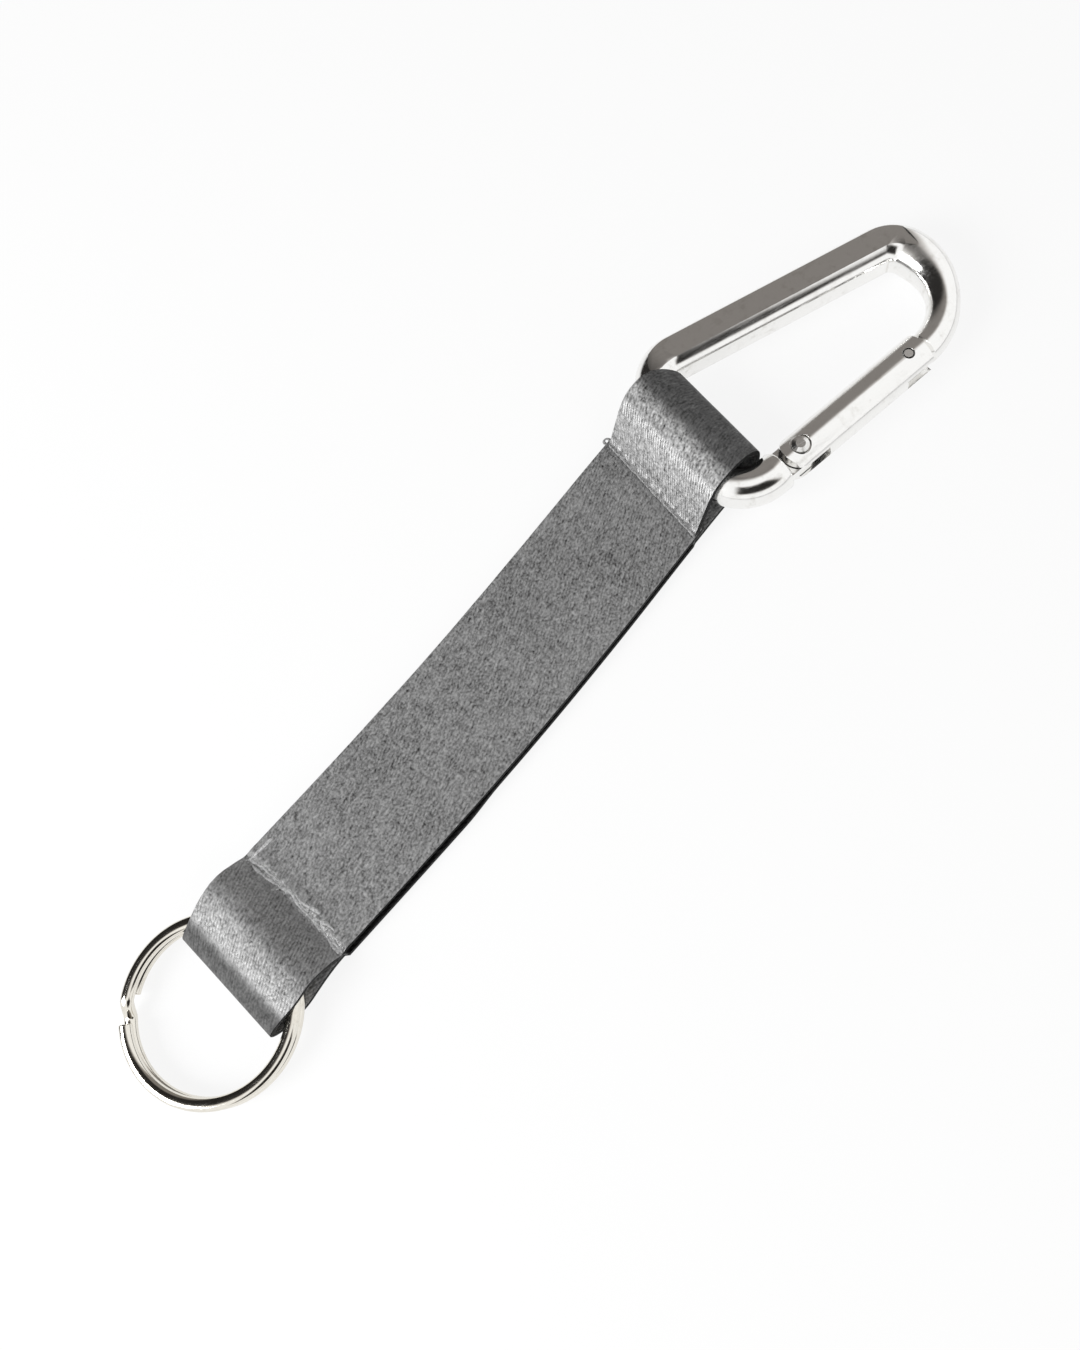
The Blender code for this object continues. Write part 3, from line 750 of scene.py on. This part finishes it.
def strap_route():
    """The webbing's stations as X, Z and ply, from the flap's cut edge to the tucked end.

    Ply 2 is the flap over the carabiner, ply 0 the back and ply 1 the front.
    """
    clip_height = 2 * (PLY + CLIP_LOOP_SLACK + ROD_RADIUS)
    ring_height = 2 * (PLY + RING_LOOP_SLACK) + RING_HEIGHT
    flap = loop_run(HALF_SPAN, CLIP_LOOP_REACH, FLAP_LEVEL, clip_height, CLIP_CREST_SHARE,
                    CLIP_SHOULDER_POWER, CLIP_FOLD_ROUND, 1)
    ring = loop_run(-HALF_SPAN, RING_LOOP_REACH, FRONT_LEVEL, ring_height, RING_CREST_SHARE,
                    RING_SHOULDER_POWER, RING_FOLD_ROUND, -1)
    between = [HALF_SPAN * (1 - 2 * index / SPAN_STATIONS) for index in range(SPAN_STATIONS + 1)]
    shares = [index / BACK_STATIONS for index in range(1, BACK_STATIONS)]
    route = [(HALF_SPAN - FLAP_OVERHANG, FLAP_LEVEL, 2)]
    route += [(x, z, 2) for x, z in flap]
    last = flap[-1][0]
    route += [(last + (HALF_SPAN - last) * share, BACK_LEVEL, 0) for share in shares]
    route += [(x, BACK_LEVEL, 0) for x in between]
    last = ring[-1][0]
    route += [(-HALF_SPAN + (last + HALF_SPAN) * share, BACK_LEVEL, 0) for share in shares]
    route += [(x, z, 1) for x, z in ring[::-1]]
    route += [(-x, FRONT_LEVEL, 1) for x in between[1:]]
    tuck = TUCK_UNDER_SEAM / TUCK_STATIONS
    route += [(HALF_SPAN + tuck * index, FRONT_LEVEL, 1) for index in range(1, TUCK_STATIONS + 1)]
    return route


def ring_draw_share():
    """Share by which the ring's bore draws in the webbing at its fold."""
    bore = RING_OUTER_RADIUS - RING_WIRE_WIDTH
    fold = HALF_SPAN + RING_LOOP_REACH - PLY - RING_WRAP_SHARE * RING_FOLD_ROUND
    return 1 - 2 * math.sqrt(bore ** 2 - (RING_CENTRE_X + fold) ** 2) / STRAP_WIDTH


RING_DRAW_SHARE = ring_draw_share()


def strap_place(x, z, across):
    """Bend a flat place on the webbing to the strap's bow, skew and drawn-in folds."""
    over_clip = ease((x - HALF_SPAN + STRAP_WIDTH) / STRAP_WIDTH)
    over_ring = ease((-x - HALF_SPAN + STRAP_WIDTH) / STRAP_WIDTH)
    past_crest = ((x - HALF_SPAN) / CLIP_LOOP_REACH - CLIP_CREST_SHARE) / (1 - CLIP_CREST_SHARE)
    from_middle = abs((z - CLIP_FOLD_LEVEL) / CLIP_FOLD_LEVEL)
    at_clip = ease(past_crest) * (1 - from_middle ** CLIP_FOLD_POWER)
    at_ring = (-x - HALF_SPAN) / RING_LOOP_REACH
    ring_draw = RING_DRAW_SHARE * ease((at_ring - RING_DRAW_START_SHARE) / (1 - RING_DRAW_START_SHARE))
    along = min(1.0, abs(x) / BOW_SPAN)
    bow = STRAP_BOW * (1 - (1 - along * along) ** 2)
    width = STRAP_WIDTH * (1 - CLIP_DRAW_SHARE * at_clip - ring_draw)
    y = across * width / 2
    skew = CLIP_SKEW_SHARE * over_clip + RING_SKEW_SHARE * over_ring
    shift = CLIP_FOLD_SHIFT * at_clip + RING_FOLD_SHIFT * ease(at_ring)
    return Vector((x + skew * y, y + bow + shift, z))


def needle_places():
    """Places across the strap of the clip seam's dents, from -1 to 1."""
    first = NEEDLE_SHIFT - NEEDLE_PITCH * (NEEDLE_COUNT - 1) / 2
    return [2 * (first + NEEDLE_PITCH * index) / STRAP_WIDTH for index in range(NEEDLE_COUNT)]


NEEDLE_PLACES = needle_places()


def bell(distance, width):
    """A smooth bump of height 1 that fades over a width."""
    return math.exp(-(distance / width) ** 2)


def relief(x, across, ply):
    """How far the sewing and the handling press or lift the webbing there."""
    if ply == 0:
        return 0.0
    lift = PLY_WAVE * noise.noise(Vector((x * 130, across * 1.9, 7.0 * ply)))
    from_ring_seam = abs(x + HALF_SPAN)
    if ply == 1 and from_ring_seam < SEAM_REACH:
        pucker = 1 + 0.6 * noise.noise(Vector((across * 14, 2.0, 5.0)))
        lift -= SEAM_DIP * pucker * bell(from_ring_seam, SEAM_DIP_WIDTH)
        lift += SEAM_SWELL * pucker * bell(from_ring_seam - SEAM_SWELL_AT, SEAM_SWELL_WIDTH)
    past_clip_seam = x - HALF_SPAN
    if ply == 2 and past_clip_seam < SEAM_REACH:
        for place in NEEDLE_PLACES:
            away = math.hypot((across - place) * STRAP_WIDTH / 2, past_clip_seam - NEEDLE_ROW)
            lift += DENT_RIM * bell(away - DENT_RIM_RADIUS, DENT_RIM_WIDTH)
            lift -= DENT_DEPTH * bell(away, DENT_RADIUS)
        wave = noise.noise(Vector((across * 9, 1.0, 3.0)))
        lift += CUT_WAVE * wave * bell(past_clip_seam, SEAM_DIP_WIDTH)
    return lift


def ply_place(x, z, across, ply):
    """A place on one ply: the flap starts narrower, and the back ply lies a little to one side."""
    point = strap_place(x, z, across)
    if ply == 2:
        left = max(0.0, 1 - (x - HALF_SPAN) / CLIP_LOOP_REACH) * min(1.0, z / FLAP_LEVEL)
        point.y -= FLAP_INSET / 2 * (1 + across) * left
    if ply == 0:
        over = ease((HALF_SPAN - abs(x)) / UNDER_STEP)
        step = 1 - ease((x - UNDER_STEP_END) / UNDER_STEP_FADE)
        point.y -= over * (UNDER_SHIFT + UNDER_STEP * step)
    point.z += relief(x, across, ply)
    return point


def make_webbing():
    """One strip of webbing, folded round the ring and the carabiner and sewn at its two seams."""
    route = strap_route()
    lengths = [0.0]
    for first, second in zip(route, route[1:]):
        lengths.append(lengths[-1] + math.hypot(second[0] - first[0], second[1] - first[1]))
    shares = [column / WEBBING_COLUMNS for column in range(WEBBING_COLUMNS + 1)]

    def build(bm):
        laid_grid(bm, [[ply_place(x, z, 2 * share - 1, ply) for share in shares] for x, z, ply in route])
        bm.verts.index_update()
        weave = bm.loops.layers.uv.new("weave")
        for face in bm.faces:
            for loop in face.loops:
                row, column = divmod(loop.vert.index, len(shares))
                loop[weave].uv = (lengths[row], STRAP_WIDTH * shares[column])

    def length_at(ply, furthest=math.inf):
        """The webbing's length up to a ply's first station that isn't further along X than a place."""
        return next(length for length, (x, z, layer) in zip(lengths, route)
                    if layer == ply and x <= furthest)

    ring_fold = length_at(1)
    # Where the painted shade and painted highlights of the loops lie along the webbing
    painted_light_marks = FLAP_PAINTED_LIGHT + [(ring_fold + middle, *rest) for middle, *rest in RING_LOOP_PAINTED_LIGHT]
    back_ply = (length_at(0, HALF_SPAN), length_at(0, -HALF_SPAN))
    needle = (FLAP_OVERHANG + NEEDLE_ROW_LENGTH, STRAP_WIDTH / 2 + NEEDLE_SHIFT + NEEDLE_PITCH / 2)
    strap = mesh_object("webbing", build)
    wall = strap.modifiers.new("ply", "SOLIDIFY")
    wall.thickness = PLY
    wall.offset = 0.0
    wall.use_even_offset = True
    wall.material_offset_rim = 1
    edge = strap.modifiers.new("selvedge", "BEVEL")
    edge.width = SELVEDGE_ROUND
    edge.segments = 2
    edge.limit_method = "ANGLE"
    edge.angle_limit = math.radians(60.0)
    edge.use_clamp_overlap = True
    surfaces = [webbing_material(painted_light_marks, back_ply, needle), selvedge_material()]
    show(strap, surfaces, "strap", "webbing_strap")
    return strap, lengths[-1]


def thread_mesh(name, stitches, radius, surface):
    """Short lengths of sewing thread as one piece, each fuller and thinner along its way."""
    def build(bm):
        outline = oval(2 * radius, THREAD_FLATNESS * 2 * radius, THREAD_SIDES)
        for count, points in enumerate(stitches):
            spots = [Vector((index * 0.16, count * 3.7, 0.5)) for index in range(len(points))]
            shares = [0.8 + 0.9 * noise.noise(spot) for spot in spots]
            shares[0] = shares[-1] = THREAD_END_SHARE
            sweep(bm, points, outline, Vector((0.3, 0.2, 1)), shares)
        close_skins(bm)
    return show(mesh_object(name, build), [surface], "strap")


def flap_thread(start, end, offset, wander, seed):
    """A thread laid across the flap near its cut edge, wandering about a line and dipping a little."""
    points = []
    count = max(6, int(abs(end - start) * 45))
    for index in range(count + 1):
        share = index / count
        across = start + (end - start) * share
        stray = noise.noise(Vector((across * 4.3, seed, 1.7)))
        stray += 0.2 * noise.noise(Vector((across * 12, seed, 4.2)))
        point = ply_place(HALF_SPAN + offset + wander * stray, FLAP_LEVEL, across, 2)
        dip = 0.00016 * noise.noise(Vector((across * 12, seed, 9.1))) - THREAD_SINK
        point.z += PLY / 2 + dip - THREAD_END_DIP * abs(2 * share - 1) ** 8
        points.append(point)
    return points


def smooth_path(places, steps=8):
    """Points on a smooth curve through the places."""
    ends = [places[0]] + places + [places[-1]]
    path = []
    for before, first, second, after in zip(ends, ends[1:], ends[2:], ends[3:]):
        for index in range(steps):
            t = index / steps
            path.append([0.5 * (2 * b + (c - a) * t + (2 * a - 5 * b + 4 * c - d) * t ** 2
                                + (3 * b - a - 3 * c + d) * t ** 3)
                         for a, b, c, d in zip(before, first, second, after)])
    return path + [list(places[-1])]


def ring_ply_level(x):
    """Height of the top ply at the ring's seam and where it rises beyond it."""
    top = 2 * (PLY + RING_LOOP_SLACK) + RING_HEIGHT - PLY / 2
    past = max(0.0, (-HALF_SPAN - x) / (RING_CREST_SHARE * RING_LOOP_REACH))
    return FRONT_LEVEL + (top - FRONT_LEVEL) * ramp(past)


def ring_seam_threads():
    """Loose cords of thread that wander about the seam, part and end."""
    # Each place: share of the width from the left edge, and millimetres from the seam towards the carabiner
    cords = [
        [(0.02, -0.5), (0.06, -0.6), (0.19, -0.3), (0.32, 0.4), (0.38, 0.8), (0.44, 1.6)],
        [(0.03, 0.0), (0.08, 0.2), (0.15, 0.7), (0.22, 0.8), (0.32, 1.2)],
        [(0.34, 0.5), (0.42, 1.1), (0.50, 1.0), (0.55, 0.6), (0.70, 0.6), (0.78, 0.4)],
        [(0.52, 1.2), (0.56, 1.5), (0.63, 2.0), (0.69, 2.4)],
        [(0.68, 0.9), (0.73, 1.5), (0.79, 1.9), (0.86, 2.1)],
        [(0.80, 0.6), (0.86, 0.2), (0.93, 0.0), (0.99, -0.1)],
        [(0.35, 0.2), (0.33, -0.6), (0.31, -1.6)],
        [(0.89, 0.8), (0.95, 0.6), (0.99, 0.5)],
        [(0.03, -0.8), (0.05, 0.8), (0.058, 3.0), (0.060, 5.5)]]
    threads = []
    for seed, places in enumerate(cords):
        points = []
        path = smooth_path(places)
        for index, (share, offset) in enumerate(path):
            sway = noise.noise(Vector((index * 0.35, seed * 3.1, 1.7)))
            x = -HALF_SPAN + 0.001 * offset + 0.00015 * sway
            point = ply_place(x, ring_ply_level(x), 1 - 2 * share, 1)
            dip = 0.00012 * noise.noise(Vector((index * 0.4, seed * 2.3, 9.1)))
            past_middle = abs(2 * index / (len(path) - 1) - 1)
            point.z += PLY / 2 + THREAD_PROUD + dip - THREAD_END_DIP * past_middle ** 8
            points.append(point)
        threads.append(points)
    return threads


def clip_seam_threads():
    """Fibres along the flap's cut edge, loose ones beside it, and a curled thread end."""
    edge = [(0.99, 0.55), (0.52, 0.05), (0.02, -0.45), (-0.48, -0.99)]
    rows = [(start, end, -0.00006, 0.00045) for start, end in edge]
    rows += [(0.90, 0.52, 0.00060, 0.00030),
             (0.36, -0.12, 0.00055, 0.00030),
             (-0.45, -0.97, 0.00070, 0.00034)]
    threads = [flap_thread(*row, seed) for seed, row in enumerate(rows, 11)]
    curl = []
    middle = ply_place(HALF_SPAN, FLAP_LEVEL, 1.0, 2) + Vector(CURL_OFF_CORNER)
    for index in range(CURL_STEPS + 1):
        turn = math.radians(-60 + 300 * index / CURL_STEPS)
        size = CURL_RADIUS - CURL_TIGHTENING * index / CURL_STEPS
        curl.append(middle + Vector((size * math.cos(turn), size * math.sin(turn), 0)))
    threads.append(curl)
    return threads


def make_threads():
    """The sewing thread of both seams."""
    pale = thread_material("pale_thread", 0.34, 0.58)
    dull = thread_material("dull_thread", 0.24, 0.42)
    return [thread_mesh("ring_seam_thread", ring_seam_threads(), RING_THREAD_RADIUS, pale),
            thread_mesh("clip_seam_thread", clip_seam_threads(), CLIP_THREAD_RADIUS, dull)]


# Split ring

def make_ring():
    """Two turns of flattened wire."""
    mean = RING_OUTER_RADIUS - RING_WIRE_WIDTH / 2
    lift = (RING_WIRE_HEIGHT + RING_TURN_GAP) / 2
    half_cross = RING_CROSS_ANGLE / 2
    start = half_cross + RING_END_ANGLE
    finish = 4 * math.pi - start
    points = []
    for index in range(RING_STEPS + 1):
        angle = start + (finish - start) * index / RING_STEPS
        level = 1 - 2 * ease((angle - 2 * math.pi + half_cross) / RING_CROSS_ANGLE)
        turn = angle + RING_CROSS_AT
        points.append((mean * math.cos(turn), mean * math.sin(turn), lift * level))
    tilt = math.asin((PLY + RING_LOOP_SLACK / 2) / (2 * RING_OUTER_RADIUS))
    height = PLY + RING_LOOP_SLACK + RING_HEIGHT / 2 - RING_OUTER_RADIUS * math.sin(tilt)
    centre = Matrix.Translation((RING_CENTRE_X, RING_CENTRE_Y, height))
    place = centre @ Euler((0, -tilt, 0)).to_matrix().to_4x4()

    def build(bm):
        sweep(bm, points, oval(RING_WIRE_WIDTH, RING_WIRE_HEIGHT, RING_SIDES, RING_CORNER_POWER))
        close_skins(bm)
        bmesh.ops.transform(bm, matrix=place, verts=bm.verts)
    ring = mesh_object("ring", build, angle=40.0)
    soften(ring, RING_EDGE_WIDTH, segments=3, angle=50.0)
    surface = metal_material("nickel", colour=(0.80, 0.77, 0.70), dark=(0.50, 0.44, 0.36),
                             roughness=0.10, grain=0.6)
    show(ring, [surface], "ring", "split_ring")


# Carabiner

def hinge_corner_centre():
    """Centre of the bend between the bar and the hinge, whose axis is the origin."""
    x = -BAR_OFFSET + HINGE_CORNER_RADIUS
    return x, (HINGE_CORNER_RADIUS + math.sin(GATE_ANGLE) * x) / math.cos(GATE_ANGLE)


def nose_arcs():
    """Centres of the nose's two bends, the second's radius and the angle where they join."""
    start_angle = math.radians(90) - NOSE_TURN
    first = (SPINE_END, SPINE_OFFSET - NOSE_RADIUS)
    toward = (math.cos(start_angle), math.sin(start_angle))
    joint = (first[0] + NOSE_RADIUS * toward[0], first[1] + NOSE_RADIUS * toward[1])
    normal = (-math.sin(GATE_ANGLE), math.cos(GATE_ANGLE))
    height = normal[0] * joint[0] + normal[1] * joint[1]
    radius = height / (1 + normal[0] * toward[0] + normal[1] * toward[1])
    second = (joint[0] - radius * toward[0], joint[1] - radius * toward[1])
    return first, second, radius, start_angle


FIRST_BEND, SECOND_BEND, SECOND_RADIUS, BEND_JOINT = nose_arcs()
NOSE_REACH = max(SECOND_BEND[0] + SECOND_RADIUS, FIRST_BEND[0] + NOSE_RADIUS)
NOSE_END = SECOND_BEND[0] * math.cos(GATE_ANGLE) + SECOND_BEND[1] * math.sin(GATE_ANGLE)
GATE_LENGTH = NOSE_END - GATE_END_GAP
BAR_MIDDLE = (hinge_corner_centre()[1] + SPINE_OFFSET - SPINE_CORNER_RADIUS) / 2
LATCH_AT = GATE_LENGTH - LATCH_PIN_INSET
SEAT = Vector((BAR_OFFSET - CLIP_SWING_OFFSET, -BAR_MIDDLE, 0))
TILT = math.asin((PLY + CLIP_LOOP_SLACK + ROD_RADIUS - SPINE_RADIUS) / (SEAT.x + NOSE_REACH))
SWING = Matrix.Translation((CLIP_SWING_X, CLIP_SWING_Y, PLY + CLIP_LOOP_SLACK + ROD_RADIUS))
BODY = SWING @ Euler((0, TILT, CLIP_YAW)).to_matrix().to_4x4() @ Matrix.Translation(SEAT)
TURN = Matrix.Rotation(GATE_ANGLE, 4, "Z")
AXLE = BODY @ TURN


def body_route():
    """The rod's centre line from the hinge shoulder round the bar and spine to the nose."""
    along = (math.cos(GATE_ANGLE), math.sin(GATE_ANGLE))
    hinge_centre = hinge_corner_centre()
    spine_centre = (-BAR_OFFSET + SPINE_CORNER_RADIUS, SPINE_OFFSET - SPINE_CORNER_RADIUS)
    quarter = math.radians(90)
    tangent = GATE_ANGLE - quarter
    ends = [HINGE_SHOULDER, HINGE_SHOULDER + END_CHAMFER / 2, HINGE_SHOULDER + END_CHAMFER]
    route = [(-along[0] * back, -along[1] * back, 0) for back in ends]
    shares = [1 - END_CHAMFER / ROD_RADIUS, 1 - END_CHAMFER / ROD_RADIUS / 4, 1.0]
    spine_share = SPINE_RADIUS / ROD_RADIUS
    neck_share = NECK_RADIUS / ROD_RADIUS
    for x, y in arc(hinge_centre, HINGE_CORNER_RADIUS, tangent, -2 * quarter):
        route.append((x, y, 0))
        shares.append(1.0)
    bend = arc(spine_centre, SPINE_CORNER_RADIUS, 2 * quarter, quarter)
    for index, (x, y) in enumerate(bend):
        route.append((x, y, 0))
        shares.append(1 + (spine_share - 1) * ease(index / (len(bend) - 1)))
    start = bend[-1][0]
    for index in range(1, SPINE_STEPS):
        route.append((start + (SPINE_END - start) * index / SPINE_STEPS, SPINE_OFFSET, 0))
        shares.append(spine_share)
    for x, y in arc(FIRST_BEND, NOSE_RADIUS, quarter, BEND_JOINT):
        route.append((x, y, 0))
        shares.append(spine_share)
    nose = arc(SECOND_BEND, SECOND_RADIUS, BEND_JOINT, tangent)
    for index, (x, y) in enumerate(nose[1:], 1):
        route.append((x, y, 0))
        thinner = ease(NECK_TAPER_SPEED * index / (len(nose) - 1))
        shares.append(spine_share + (neck_share - spine_share) * thinner)
    shares[-1] = neck_share - END_CHAMFER / ROD_RADIUS
    last, before = Vector(route[-1]), Vector(route[-2])
    inset = last + (before - last).normalized() * END_CHAMFER
    route.insert(-1, tuple(inset))
    shares.insert(-1, neck_share)
    return route, shares


def make_body():
    """The carabiner's bent rod with its pressed spine, hinge tang and hooked nose tongue."""
    route, shares = body_route()
    body = Solid(tube("rod", route, ROD_RADIUS, shares))
    start, end = -BAR_OFFSET, SPINE_END + NOSE_RADIUS
    top = SPINE_RADIUS - SPINE_FLAT_DEPTH
    side = SPINE_RADIUS - SPINE_SIDE_DEPTH
    reach = SPINE_RADIUS + OVERRUN
    spine = Matrix.Translation((0, SPINE_OFFSET, 0))
    lean = Matrix.Rotation(SPINE_FLAT_TILT, 4, "X")
    body.cut(box("top", (start, -reach, top), (end, reach, reach + OVERRUN)), spine @ lean.inverted())
    body.cut(box("bottom", (start, -reach, -reach - OVERRUN), (end, reach, -top)), spine @ lean)
    flat = SPINE_CORNER_RADIUS - BAR_OFFSET
    body.cut(box("inner", (flat, -reach, -reach), (SPINE_END, -side, reach)), spine)
    half = TANG_THICKNESS / 2
    body.cut(round_bar("tang", TANG_RADIUS, -half, half), TURN, "UNION")
    neck = box("neck", (-HINGE_SHOULDER - OVERRUN, -TANG_RADIUS, -half), (0, TANG_RADIUS, half))
    body.cut(neck, TURN, "UNION")
    heel = box("heel", (-TANG_HEEL, -TANG_RADIUS / 2, -half), (TANG_RADIUS, TANG_HEEL, half))
    body.cut(heel, TURN, "UNION")
    body.cut(round_bar("hole", RIVET_RADIUS + CLEARANCE, -half - OVERRUN, half + OVERRUN), TURN)
    half = TONGUE_THICKNESS / 2
    tongue = box("tongue", (NOSE_END - TONGUE_LENGTH, -TONGUE_HALF_HEIGHT, -half),
                 (NOSE_END + OVERRUN, TONGUE_HALF_HEIGHT, half))
    body.cut(tongue, TURN, "UNION")
    reach = LATCH_PIN_RADIUS + LATCH_NOTCH_CLEARANCE
    notch = box("notch", (LATCH_AT - reach, -reach, -half - OVERRUN),
                (LATCH_AT + reach, TONGUE_HALF_HEIGHT + OVERRUN, half + OVERRUN))
    body.cut(notch, TURN)
    obj = body.done("carabiner", BODY)
    soften(obj, BODY_EDGE_WIDTH)
    surface = metal_material("aluminium", colour=(0.90, 0.895, 0.88), dark=(0.62, 0.60, 0.56),
                             roughness=0.14)
    show(obj, [surface], "carabiner", "carabiner_body")
    return surface


def make_gate(surface):
    """The round gate: forked ears on the hinge, a spring bore, and a slotted latch end."""
    gate = Solid(round_bar("bar", ROD_RADIUS, 0, GATE_LENGTH, "X"))
    ears = Solid(round_bar("ears", EAR_RADIUS, -ROD_RADIUS, ROD_RADIUS))
    ears.cut(round_bar("ear_round", ROD_RADIUS, -ROD_RADIUS, TANG_RADIUS, "X"), operation="INTERSECT")
    gate.cut(ears.done("ear_pair", Matrix.Identity(4)), operation="UNION")
    half = TANG_THICKNESS / 2 + CLEARANCE
    side = ROD_RADIUS + OVERRUN
    gate.cut(box("slot", (-side, -side, -half), (HINGE_SLOT_DEPTH, side, half)))
    gate.cut(round_bar("rivet_hole", RIVET_RADIUS + CLEARANCE, -side, side))
    spot = RIVET_HEAD_RADIUS + CLEARANCE
    face = ROD_RADIUS - SPOT_FACE_DEPTH
    gate.cut(round_bar("spot_top", spot, face, side))
    gate.cut(round_bar("spot_bottom", spot, -side, -face))
    bore = round_bar("bore", BORE_RADIUS, 0, BORE_END, "X", HOLE_SIDES)
    gate.cut(bore, Matrix.Translation((0, BORE_OFFSET, 0)))
    half = TONGUE_THICKNESS / 2 + CLEARANCE
    slot = box("latch_slot", (GATE_LENGTH - LATCH_SLOT_DEPTH, -side, -half),
               (GATE_LENGTH + OVERRUN, side, half))
    gate.cut(slot)
    hole = round_bar("latch_hole", LATCH_PIN_RADIUS + CLEARANCE, -side, side, sides=HOLE_SIDES)
    gate.cut(hole, Matrix.Translation((LATCH_AT, 0, 0)))
    obj = gate.done("gate_arm", AXLE)
    soften(obj, GATE_EDGE_WIDTH)
    show(obj, [surface], "gate_arm", "gate")


def finish_small_metal():
    """Give the small steel pieces, which keep their solids, a scratched and slightly grimy steel surface.
    """
    steel = metal_material("small_steel", colour=(0.84, 0.835, 0.82), dark=(0.60, 0.57, 0.52),
                           roughness=0.20)
    for node in ("hinge_rivet", "latch_pin", "spring_plunger", "gate_spring"):
        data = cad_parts[node].data
        data.materials.clear()
        data.materials.append(steel)


make_camera()
make_world()
make_floor()
make_lamp("key", way=(-0.80, 0.26, 0.54), distance=0.55, size=0.30, power=3.2, shine=True)
make_lamp("fill", way=(-0.10, -0.85, 0.55), distance=0.80, size=0.60, power=1.0, shine=False)
webbing, strap_length = make_webbing()
threads = make_threads()
make_ring()
aluminium = make_body()
make_gate(aluminium)
finish_small_metal()
bpy.context.scene.view_settings.view_transform = "Standard"
